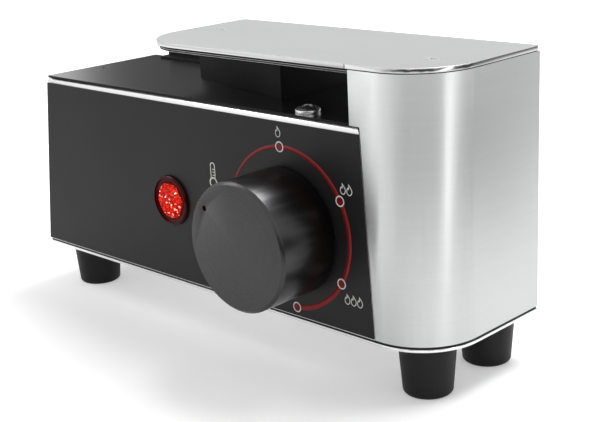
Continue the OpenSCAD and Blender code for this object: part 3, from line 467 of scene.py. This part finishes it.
lid_steel = brushed_metal("lid_brushed_steel", (STREAKS_PER_METRE, GRAIN_PER_METRE, GRAIN_PER_METRE),
                          (0, 1, 0), LID_STEEL, LID_ROUGH)
rim_steel = brushed_metal("rim_polished_steel", RIM_LINES, (0, 0, 1), RIM_STEEL, RIM_ROUGH,
                          ripple=0.02, one_way=0.3, bump=0.001)
# The lid's edge rounds have a rougher filed finish, in a darker steel that paints shade on them and keeps the
# key lamp's bright line off.
filed_shade_steel = brushed_metal("filed_edge_steel", RIM_LINES, (0, 0, 1), FILED_SHADE_STEEL, 0.4,
                            ripple=0.1, one_way=0.0)
# The liner's flat and upright faces take a nearly black steel, painted shade for the gap under the lid's rim.
# Its edge rounds keep the polished rim steel.
shaded_steel = brushed_metal("liner_shaded_steel", LINER_LINES, (0, 1, 0), SHADED_STEEL, 0.4)
lid = eased("lid_plate", lid_steel, width=0.2)
other_side(lid, rim_steel, upright)
other_side(lid, filed_shade_steel, slanted)
liner = eased("lid_liner", shaded_steel, width=0.15)
other_side(liner, rim_steel, slanted)


# ---- black deck, pedestal and upstand ----
# Folded sheet in black. The deck's top is brushed from left to right and mirrors as dark
# metal does. Its upright faces, the pedestal and the upstand get a near-black colour, darker than
# any paint. On the deck's upright faces it is painted shade, for the shadow gap over the panel.

DARK_METAL = (0.26, 0.262, 0.262)
DECK_ROUGH = 0.21
DECK_LINES = (9.0, 1500.0, 1500.0)
WALL_BLACK_AND_SHADE = (0.0022, 0.0022, 0.0022)
UPSTAND_LEFT = -100.5 * MM


def build_speckle(add, given, out, link):
    """The fine even tooth of moulded plastic, rubber and powder coat, with slow patches of wear."""
    tooth = add("ShaderNodeTexNoise", {"Vector": given["Vector"], "Scale": given["Grain"], "Detail": 2.0})
    patch = add("ShaderNodeTexNoise", {"Vector": given["Vector"], "Scale": given["Patch"], "Detail": 4.0})
    link(tooth.outputs["Fac"], out["Tooth"])
    link(patch.outputs["Fac"], out["Patches"])


SPECKLE = shared_effect(
    "moulded_tooth",
    [("Vector", "NodeSocketVector", None), ("Grain", "NodeSocketFloat", 3000.0),
     ("Patch", "NodeSocketFloat", 30.0)],
    [("Tooth", "NodeSocketFloat"), ("Patches", "NodeSocketFloat")], build_speckle)


def moulded(name, colour, rough_low, rough_high, grain=3000.0, bump=0.01, **shader):
    """Plastic, rubber, paint or ink with a fine tooth and slow patches in its gloss."""
    made, add, place = new_material(name)
    tooth = add("ShaderNodeGroup", {"Vector": place, "Grain": grain}, node_tree=SPECKLE)
    relief = shallow_relief(add, tooth.outputs["Tooth"], bump)
    close_material(
        add, Base_Color=spread_colour(add, tooth.outputs["Patches"], [c * 0.88 for c in colour], colour),
        Roughness=spread_value(add, tooth.outputs["Patches"], rough_low, rough_high),
        Normal=relief, **shader)
    return made


deck_metal = brushed_metal("deck_black_metal", DECK_LINES, (0, 1, 0), DARK_METAL, DECK_ROUGH,
                           ripple=0.22, one_way=0.7, bump=0.006)
wall_black_and_shade = moulded("wall_matt_black", WALL_BLACK_AND_SHADE, 0.5, 0.6, bump=0.002, Specular_IOR_Level=0.2)
deck = eased("deck_plate", deck_metal)
# Painted shade: the deck's upright faces take the near-black colour, for the shadow gap over the panel's
# bend.
other_side(deck, wall_black_and_shade, upright)
eased("pedestal", wall_black_and_shade)
eased("rear_upstand", wall_black_and_shade, off=((-1, -1, 0), (UPSTAND_LEFT, 1, 1)))


# ---- printed panel plate ----
# A thin plate with a satin black face is glued to the steel panel. Its marks are screen
# printed: a red arc that widens as the heat goes up, four stops on it, and their signs.

PLATE_BLACK = (0.0115, 0.0115, 0.012)
WHITE_INK = (0.88, 0.88, 0.86)
RED_INK = (0.27, 0.01, 0.011)
DARK_RED_INK = (0.2, 0.003, 0.007)
FINE_TOOTH = {"rough_low": 0.4, "rough_high": 0.46, "grain": 5000.0, "bump": 0.002}
# Millimetres, and angles in degrees, from the middle of the dial. The arc's width goes with the
# angle. A flame group is its radius, angle, number of flames and their pitch.
INK = 0.05
PRINT_RAISED = Vector((0.0, 0.0, 0.9)) * MM
ARC_RADIUS = 34.4
ARC_STEPS = 84
ARC_WIDTH_AT = ((165.0, 1.0), (94.0, 1.75), (20.0, 2.1), (-84.7, 2.3))
STOP_ANGLES = (94.0, 29.0, -31.8, -84.7)
STOP_RADIUS = 2.3
STOP_LINE = 0.52
FLAME_GROUPS = ((40.7, 94.1, 1, 0.0), (40.2, 33.3, 2, 3.4), (42.8, -34.0, 3, 3.35))
FLAME_HEIGHT = 4.5
FLAME_WIDTH = 2.7
FLAME_LINE = 0.34
GAUGE_BULB_AT = (46.4, 164.4)
GAUGE_BULB = 2.15
GAUGE_STEM = (1.3, 7.6)
GAUGE_LINE = 0.5
GAUGE_TICK = 1.5
GAUGE_TICKS_AT = (3.4, 4.7, 6.0)

plate_black = moulded("panel_satin_black", PLATE_BLACK, Specular_IOR_Level=0.24, **FINE_TOOTH)
eased("panel_overlay", plate_black, width=0.08)
white_ink = moulded("white_ink", WHITE_INK, **FINE_TOOTH)
red_ink = moulded("red_ink", RED_INK, Specular_IOR_Level=0.25, **FINE_TOOTH)
dark_red_ink = moulded("dark_red_ink", DARK_RED_INK, Specular_IOR_Level=0.25, **FINE_TOOTH)


def new_tree(name, numbers=(), materials=("Material",), objects=()):
    """A Geometry Nodes tree with these inputs, its node adder and its group input's sockets."""
    tree = bpy.data.node_groups.new(name, "GeometryNodeTree")
    tree.interface.new_socket(name="Geometry", in_out="INPUT", socket_type="NodeSocketGeometry")
    for kind, labels in (("Float", numbers), ("Material", materials), ("Object", objects)):
        for label in labels:
            tree.interface.new_socket(name=label, in_out="INPUT", socket_type="NodeSocket" + kind)
    tree.interface.new_socket(name="Geometry", in_out="OUTPUT", socket_type="NodeSocketGeometry")
    add = new_nodes(tree)
    return tree, add, add("NodeGroupInput").outputs


def run_tree(name, mesh, tree, **values):
    """Runs the tree on a mesh, with its inputs given by name, and returns the plain mesh."""
    holder = bpy.data.objects.new(name + "_holder", mesh)
    modifier = holder.modifiers.new("tree", "NODES")
    modifier.node_group = tree
    for item in tree.interface.items_tree:
        label = item.name.replace(" ", "_").lower()
        if item.in_out == "INPUT" and label in values:
            modifier[item.identifier] = values[label]
    return plain_mesh(name, holder)


def close_tree(add, geometry, material):
    """Realises copies, gives them their material and ends the tree."""
    real = add("GeometryNodeRealizeInstances", {0: geometry})
    dressed = add("GeometryNodeSetMaterial", {"Geometry": real.outputs[0], "Material": material})
    add("NodeGroupOutput", {0: dressed.outputs[0]})


PRINTED_LINES, add, given = new_tree("printed_lines", numbers=("Ink height",))
line = add("GeometryNodeMeshToCurve", {"Mesh": given["Geometry"]})
line = add("GeometryNodeSetCurveNormal", {"Curve": line.outputs[0]}, mode="Z_UP")
flat_nib = add("GeometryNodeCurvePrimitiveQuadrilateral", {"Width": 1.0, "Height": 0.1})
width = add("GeometryNodeInputNamedAttribute", {"Name": "line_width"}, data_type="FLOAT").outputs[0]
drawn = add("GeometryNodeCurveToMesh", {"Curve": line.outputs[0], "Profile Curve": flat_nib.outputs[0],
                                        "Scale": width, "Fill Caps": True})
where = add("ShaderNodeSeparateXYZ", {0: add("GeometryNodeInputPosition").outputs[0]}).outputs
top = maths(add, "MULTIPLY", maths(add, "GREATER_THAN", where["Z"], 0.0), given["Ink height"])
pressed = add("ShaderNodeCombineXYZ", {0: where["X"], 1: where["Y"], 2: top}).outputs[0]
pressed = add("GeometryNodeSetPosition", {"Geometry": drawn.outputs[0], "Position": pressed})
close_tree(add, pressed.outputs[0], given["Material"])

REPEATED, add, given = new_tree("repeated_marks", objects=("Mark",))
mark = add("GeometryNodeObjectInfo", {"Object": given["Mark"]})
copies = add("GeometryNodeInstanceOnPoints", {"Points": given["Geometry"],
                                              "Instance": mark.outputs["Geometry"]})
close_tree(add, copies.outputs[0], given["Material"])


def drawn_lines(name, *strokes):
    """A mesh of bare lines in millimetres on the XY plane. A stroke is its points, width and if it closes."""
    points, edges, widths = [], [], []
    for outline, width, closed in strokes:
        first = len(points)
        points += [(x * MM, y * MM, 0) for x, y in outline]
        edges += [(first + i, first + i + 1) for i in range(len(outline) - 1)]
        edges += [(first + len(outline) - 1, first)] if closed else []
        widths += [w * MM for w in width] if isinstance(width, list) else [width * MM] * len(outline)
    mesh = bpy.data.meshes.new(name)
    mesh.from_pydata(points, edges, [])
    mesh.attributes.new("line_width", "FLOAT", "POINT").data.foreach_set("value", widths)
    return mesh


def on_circle(radius, degrees, middle=(0, 0)):
    """The point at that radius and angle round a middle."""
    turn = math.radians(degrees)
    return middle[0] + radius * math.cos(turn), middle[1] + radius * math.sin(turn)


def circle(radius, middle=(0, 0), steps=32):
    """Points all round a circle."""
    return [on_circle(radius, 360 * i / steps, middle) for i in range(steps)]


def between(table, at):
    """The value at a place in a table of places and values, which falls along its places."""
    for (place, value), (next_place, next_value) in zip(table, table[1:]):
        if at >= next_place:
            return value + (next_value - value) * (place - at) / (place - next_place)
    return table[-1][1]


def flame(height, width):
    """A flame's outline round its middle: a drop with a bent tip and a second, lower tip on its left."""
    outline = ((-0.26, 1.0), (0.1, 0.69), (0.55, 0.38), (0.89, 0.05), (1.0, -0.31), (0.81, -0.67),
               (0.37, -0.93), (-0.1, -1.0), (-0.63, -0.84), (-0.96, -0.53), (-0.96, -0.18), (-0.78, 0.16),
               (-0.55, 0.38), (-0.41, 0.13), (-0.26, 0.09), (-0.11, 0.36), (-0.15, 0.67))
    return [(across * width / 2, rise * height / 2) for across, rise in outline]


def marks_at(name, places):
    """A mesh of bare points, in millimetres on the XY plane."""
    mesh = bpy.data.meshes.new(name)
    mesh.from_pydata([(x * MM, y * MM, 0) for x, y in places], [], [])
    return mesh


def print_on_panel(name, mesh):
    """Lays a flat drawing on the panel plate, its origin at the middle of the dial."""
    mesh.transform(Matrix.Translation(dial + PRINT_RAISED) @ Matrix.Rotation(math.radians(90), 4, "X"))
    stand_in(name, mesh, "satin_black", "casing")


def inked(name, drawing, material, height=INK):
    """A drawing of bare lines as solid lines of ink."""
    return run_tree(name, drawing, PRINTED_LINES, ink_height=height * MM, material=material)


panel_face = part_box("panel_overlay")[0].y
knob_low, knob_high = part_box("control_knob")
dial = Vector(((knob_low.x + knob_high.x) / 2, panel_face, (knob_low.z + knob_high.z) / 2))

arc_from, arc_to = ARC_WIDTH_AT[0][0], ARC_WIDTH_AT[-1][0]
arc_angles = [arc_from + (arc_to - arc_from) * i / ARC_STEPS for i in range(ARC_STEPS + 1)]
arc = drawn_lines("heat_arc", ([on_circle(ARC_RADIUS, a) for a in arc_angles],
                               [between(ARC_WIDTH_AT, a) for a in arc_angles], False))
print_on_panel("heat_arc", inked("heat_arc", arc, red_ink, INK * 0.6))

ring_line = drawn_lines("stop_ring", (circle(STOP_RADIUS - STOP_LINE / 2), STOP_LINE, True))
stop_ring = inked("stop_ring", ring_line, white_ink)
stop_dot = bpy.data.meshes.new("stop_dot")
work = bmesh.new()
bmesh.ops.create_cone(work, cap_ends=True, segments=32, radius1=(STOP_RADIUS - STOP_LINE * 0.8) * MM,
                      radius2=(STOP_RADIUS - STOP_LINE) * MM, depth=INK * 0.9 * MM,
                      matrix=Matrix.Translation((0, 0, INK * 0.45 * MM)))
work.to_mesh(stop_dot)
work.free()
flame_lines = drawn_lines("flame", (flame(FLAME_HEIGHT, FLAME_WIDTH), FLAME_LINE, True))
flame_mark = inked("flame", flame_lines, white_ink)

stops = [on_circle(ARC_RADIUS, a) for a in STOP_ANGLES]
flames = []
for radius, angle, count, pitch in FLAME_GROUPS:
    x, y = on_circle(radius, angle)
    flames += [(x + (i - (count - 1) / 2) * pitch, y) for i in range(count)]
for name, mark, places, ink in (("stop_rings", stop_ring, stops, white_ink),
                                ("stop_dots", stop_dot, stops, dark_red_ink),
                                ("flame_signs", flame_mark, flames, white_ink)):
    single = bpy.data.objects.new(name + "_single", mark)
    print_on_panel(name, run_tree(name, marks_at(name, places), REPEATED, mark=single, material=ink))
    bpy.data.objects.remove(single)

bulb = on_circle(*GAUGE_BULB_AT)
half, tall = GAUGE_STEM
foot = math.sqrt(GAUGE_BULB ** 2 - half ** 2)
stem_end = [on_circle(half, angle, (bulb[0], bulb[1] + tall)) for angle in range(0, 181, 15)]
stem = [(bulb[0] + half, bulb[1] + foot), *stem_end, (bulb[0] - half, bulb[1] + foot)]
ticks = [([(bulb[0] + half - GAUGE_TICK, bulb[1] + rise), (bulb[0] + half, bulb[1] + rise)],
          GAUGE_LINE * 0.8, False) for rise in GAUGE_TICKS_AT]
gauge = drawn_lines("gauge_sign", (circle(GAUGE_BULB, bulb), GAUGE_LINE * 1.4, True),
                    (stem, GAUGE_LINE, False), *ticks)
print_on_panel("gauge_sign", inked("gauge_sign", gauge, white_ink))


# ---- signal lamp ----
# A moulded dark red ring holds a red lens, a low dome with a smooth rolled border. A jewel
# pattern of small points in rows stands on the dome and scatters the lamp's light. A few of its
# points glow near white: painted glints.

BEZEL_RED = (0.055, 0.001, 0.002)
LENS_RED = (0.11, 0.001, 0.001)
LENS_RISE = 2.8
LENS_SUNK = 2.2
DOME_RADIUS = 26.0
BORDER_GAP = 0.5
CELL_PITCH = 0.95
CELL_FIELD = 8.2
CELL_HEIGHT = 0.34
CELL_SINK = 0.05
CELL_SHIFT = 0.05
CELL_SEED = 7
lamp_low, lamp_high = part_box("lamp_lens")
lens_radius = (lamp_high.x - lamp_low.x) / 2
lens_rise = LENS_RISE * MM
bezel_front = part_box("lamp_bezel")[0].y
lens_at = Vector(((lamp_low.x + lamp_high.x) / 2, bezel_front - lens_rise + LENS_SUNK * MM,
                  (lamp_low.z + lamp_high.z) / 2))
dome_radius = DOME_RADIUS * MM

bezel_red = moulded("bezel_dark_red", BEZEL_RED, 0.1, 0.16, Specular_IOR_Level=0.12)
eased("lamp_bezel", bezel_red, width=0.6, rounds=4)
lens_red = moulded("lens_clear_red", LENS_RED, 0.06, 0.1, bump=0.002, Specular_IOR_Level=0.05)


def dome(r):
    """How far the dome lies under its top at a radius, as a height below zero."""
    return math.sqrt(dome_radius ** 2 - r ** 2) - dome_radius


def lens_turning(radius, rise, steps=10, sides=72):
    """The lens as a turning about the Z axis: a low dome, a rolled border and a flat back."""
    work = bmesh.new()
    field = (CELL_FIELD + BORDER_GAP) * MM
    profile = [(field * i / steps, dome(field * i / steps)) for i in range(steps, 0, -1)]
    border = radius - field
    for i in range(1, steps + 1):
        turn = math.radians(90 * i / steps)
        fall = (rise + dome(field)) * (math.cos(turn) - 1)
        profile.insert(0, (field + border * math.sin(turn), dome(field) + fall))
    turns = [2 * math.pi * k / sides for k in range(sides)]
    rings = [[work.verts.new((r * math.cos(turn), r * math.sin(turn), z)) for turn in turns]
             for r, z in profile]
    back, tip = work.verts.new((0, 0, profile[0][1])), work.verts.new((0, 0, 0))
    for k in range(sides):
        n = (k + 1) % sides
        work.faces.new((back, rings[0][n], rings[0][k]))
        work.faces.new((tip, rings[-1][k], rings[-1][n])).smooth = True
        for low, high in zip(rings, rings[1:]):
            work.faces.new((low[k], low[n], high[n], high[k])).smooth = True
    mesh = bpy.data.meshes.new("lens")
    work.to_mesh(mesh)
    work.free()
    mesh.materials.append(lens_red)
    return mesh


def jewel_red():
    """The lit red of the lens cells: brighter in some than in others, with a painted glint glowing near white
    in a few.
    """
    made, add, place = new_material("jewel_red")
    cells = add("ShaderNodeTexVoronoi", {"Vector": place, "Scale": 1.0 / (CELL_PITCH * MM)})
    chance = add("ShaderNodeSeparateColor", {0: cells.outputs["Color"]}).outputs["Red"]
    glow = maths(add, "POWER", chance, 1.5)
    # Painted glints: the few brightest cells glow near white in place of reflected light.
    painted_glint = ramp(add, chance, 0.9, 0.98, 0.0, 1.0)
    lit = spread_colour(add, glow, (0.34, 0.0, 0.0), (1.0, 0.035, 0.004))
    glow_and_painted_glint = add("ShaderNodeMix", {0: painted_glint, 6: lit, 7: (2.6, 1.4, 1.1, 1)}, data_type="RGBA")
    close_material(
        add, Base_Color=spread_colour(add, glow, (0.22, 0.001, 0.001), (0.8, 0.012, 0.004)),
        Roughness=spread_value(add, glow, 0.06, 0.2), Specular_IOR_Level=0.12,
        Emission_Color=glow_and_painted_glint.outputs[2], Emission_Strength=0.9)
    return made


JEWELS, add, given = new_tree("jewel_cells", numbers=("Pitch", "Height", "Dome radius"))
cell_radius = maths(add, "MULTIPLY", given["Pitch"], 0.56)
cell = add("GeometryNodeMeshCone", {"Vertices": 6, "Radius Top": 0.0, "Radius Bottom": cell_radius,
                                    "Depth": given["Height"]})
here = add("GeometryNodeInputPosition").outputs[0]
centre = add("ShaderNodeCombineXYZ", {2: maths(add, "MULTIPLY", given["Dome radius"], -1.0)}).outputs[0]
outward = add("ShaderNodeVectorMath", {0: here, 1: centre}, operation="SUBTRACT").outputs[0]
turned = add("FunctionNodeAlignRotationToVector", {"Vector": outward}, axis="Z").outputs[0]
copies = add("GeometryNodeInstanceOnPoints", {"Points": given["Geometry"], "Instance": cell.outputs["Mesh"],
                                              "Rotation": turned})
close_tree(add, copies.outputs[0], given["Material"])

dice = random.Random(CELL_SEED)
cell_places = []
rows = int(CELL_FIELD / CELL_PITCH) + 2
for row in range(-rows, rows + 1):
    for column in range(-rows, rows + 1):
        x = (column + 0.5 * (row % 2)) * CELL_PITCH + dice.uniform(-CELL_SHIFT, CELL_SHIFT)
        y = row * CELL_PITCH * math.sqrt(3) / 2 + dice.uniform(-CELL_SHIFT, CELL_SHIFT)
        if math.hypot(x, y) < CELL_FIELD:
            cell_places.append((x * MM, y * MM, dome(math.hypot(x, y) * MM) - CELL_SINK * MM))
cell_mesh = bpy.data.meshes.new("cell_places")
cell_mesh.from_pydata(cell_places, [], [])
jewels = run_tree("jewel_cells", cell_mesh, JEWELS, pitch=CELL_PITCH * MM, height=CELL_HEIGHT * MM,
                  dome_radius=dome_radius, material=jewel_red())
lens = lens_turning(lens_radius, lens_rise)
for mesh in (jewels, lens):
    mesh.transform(Matrix.Translation(lens_at) @ Matrix.Rotation(math.radians(90), 4, "X"))
stand_in("lens_dome", lens, "red_lens", "casing", "lamp_lens")
stand_in("jewel_cells", jewels, "red_lens", "casing")


# ---- thermostat knob ----
# Turned from aluminium and anodised black. The side is a smooth cut, and the face has the
# fine rings of a facing tool, which spread the light into soft wedges.

KNOB_METAL = (0.066, 0.066, 0.068)
KNOB_FACE_ROUGH = 0.28
KNOB_SIDE_ROUGH = 0.3
RINGS_PER_METRE = 2500.0
RING_DEPTH = 0.003


def turned_black(name, rough, one_way, ripple):
    """Black anodised metal with rings round the knob's axis."""
    made, add, place = new_material(name)
    out_by = add("ShaderNodeVectorMath", {0: place, 1: dial}, operation="SUBTRACT").outputs[0]
    out_by = add("ShaderNodeVectorMath", {0: out_by, 1: (1.0, 0.0, 1.0)}, operation="MULTIPLY").outputs[0]
    from_axis = add("ShaderNodeVectorMath", {0: out_by}, operation="LENGTH").outputs["Value"]
    depth = add("ShaderNodeSeparateXYZ", {0: place}).outputs["Y"]
    rings = add("ShaderNodeCombineXYZ", {0: from_axis, 1: depth})
    lines = (RINGS_PER_METRE, RINGS_PER_METRE, 0.0)
    brush = add("ShaderNodeGroup", {"Vector": rings.outputs[0], "Lines per metre": lines}, node_tree=BRUSH)
    relief = shallow_relief(add, brush.outputs["Height"], RING_DEPTH)
    close_material(
        add, Base_Color=spread_colour(add, brush.outputs["Lines"], [c * (1 - ripple) for c in KNOB_METAL],
                                      [c * (1 + ripple) for c in KNOB_METAL]),
        Roughness=spread_value(add, brush.outputs["Lines"], rough * 0.92, rough * 1.08), Metallic=1.0,
        Anisotropic=one_way, Tangent=out_by, Normal=relief)
    return made


side_black = turned_black("knob_side_black", KNOB_SIDE_ROUGH, one_way=0.0, ripple=0.06)
knob = eased("control_knob", side_black, width=0.15, body="knob")
face_black = turned_black("knob_face_black", KNOB_FACE_ROUGH, one_way=0.6, ripple=0.12)
other_side(knob, face_black, lambda normal, centre: normal.y < -0.95)


# ---- feet and seals ----
# Matt black rubber: four tapered feet with a well for their screw, the strip between base
# and casing, and the thin gasket that the lid is set on.

RUBBER_BLACK = (0.009, 0.009, 0.009)
GASKET_BLACK = (0.01, 0.01, 0.01)

rubber = moulded("black_rubber", RUBBER_BLACK, 0.42, 0.55, grain=4000.0, bump=0.012, Specular_IOR_Level=0.25)
eased("rubber_feet", rubber, width=0.5, rounds=3)
eased("base_seal", rubber, width=0.1)
eased("lid_gasket", moulded("gasket_black", GASKET_BLACK, 0.2, 0.3), width=0.03)


# ---- screws in view ----
# One bright pan head on the deck's front edge, small dark heads in the deck, and sunk heads
# in lid, base and back.

CHROME = (0.95, 0.95, 0.95)
DARK_SCREW = (0.12, 0.12, 0.12)
PLATED_STEEL = (0.62, 0.62, 0.62)
SCREW_EDGE = 0.1


def small_metal(name, colour, rough, ripple, grain=300.0, bump=0.002):
    """Metal of a small part, with an even fine grain in place of a brush."""
    return brushed_metal(name, (grain,) * 3, (0, 0, 1), colour, rough, ripple, one_way=0.0, bump=bump)


chrome = small_metal("chrome_plate", CHROME, 0.27, 0.02, grain=200.0, bump=0.001)
eased("deck_screw", chrome)
dark_screw = small_metal("dark_screw_steel", DARK_SCREW, 0.28, 0.1)
eased("deck_small_screws", dark_screw, width=SCREW_EDGE)
plated = small_metal("plated_steel", PLATED_STEEL, 0.28, 0.12)
for node in ("base_screws", "back_screws", "inlet_screws"):
    eased(node, plated, width=SCREW_EDGE)
eased("lid_screws", lid_steel, width=SCREW_EDGE)


# ---- mains inlet and inner parts ----
# The inlet is a moulded black socket with three flat brass contacts. What is inside the
# casing keeps its bare form, in the finish of its material.

BLACK_PLASTIC = (0.02, 0.02, 0.02)
IVORY_PLASTIC = (0.6, 0.56, 0.45)
BRASS = (0.66, 0.47, 0.2)
COPPER = (0.62, 0.33, 0.2)
HEATER_SHEATH = (0.3, 0.28, 0.26)
MINERAL_BOARD = (0.3, 0.27, 0.22)
LID_MAT = (0.012, 0.012, 0.012)


def dress(material, *nodes):
    """Gives CAD nodes this material in all their slots."""
    for name in nodes:
        mesh = frame["nodes"][name].data
        if not mesh.materials:
            mesh.materials.append(material)
        for i in range(len(mesh.materials)):
            mesh.materials[i] = material


black_moulding = moulded("black_moulding", BLACK_PLASTIC, 0.32, 0.44)
eased("mains_inlet", black_moulding, width=0.3, rounds=3)
brass = small_metal("brass", BRASS, 0.25, 0.08)
eased("inlet_pins", brass, width=0.15)
dress(brass, "knob_bushing", "earth_stud")
dress(small_metal("copper", COPPER, 0.3, 0.1), "sensor_bulb", "capillary_tube")
dress(plated, "foot_washers", "foot_screws", "thermostat_spindle", "thermostat_bracket", "thermostat_screws",
      "element_clamp", "clamp_nuts")
dress(small_metal("heater_sheath", HEATER_SHEATH, 0.45, 0.2, grain=150.0, bump=0.004), "heater_element")
dress(black_moulding, "thermal_cutout", "thermostat_body")
dress(moulded("ivory_moulding", IVORY_PLASTIC, 0.35, 0.5), "lamp_barrel", "lamp_nut", "terminal_block")
dress(moulded("mineral_board", MINERAL_BOARD, 0.8, 0.95, grain=900.0, bump=0.2), "insulation_board")
dress(moulded("lid_mat_dark", LID_MAT, 0.8, 0.95, grain=900.0, bump=0.2), "lid_insulation")
dress(dark_screw, "knob_grub_screw")
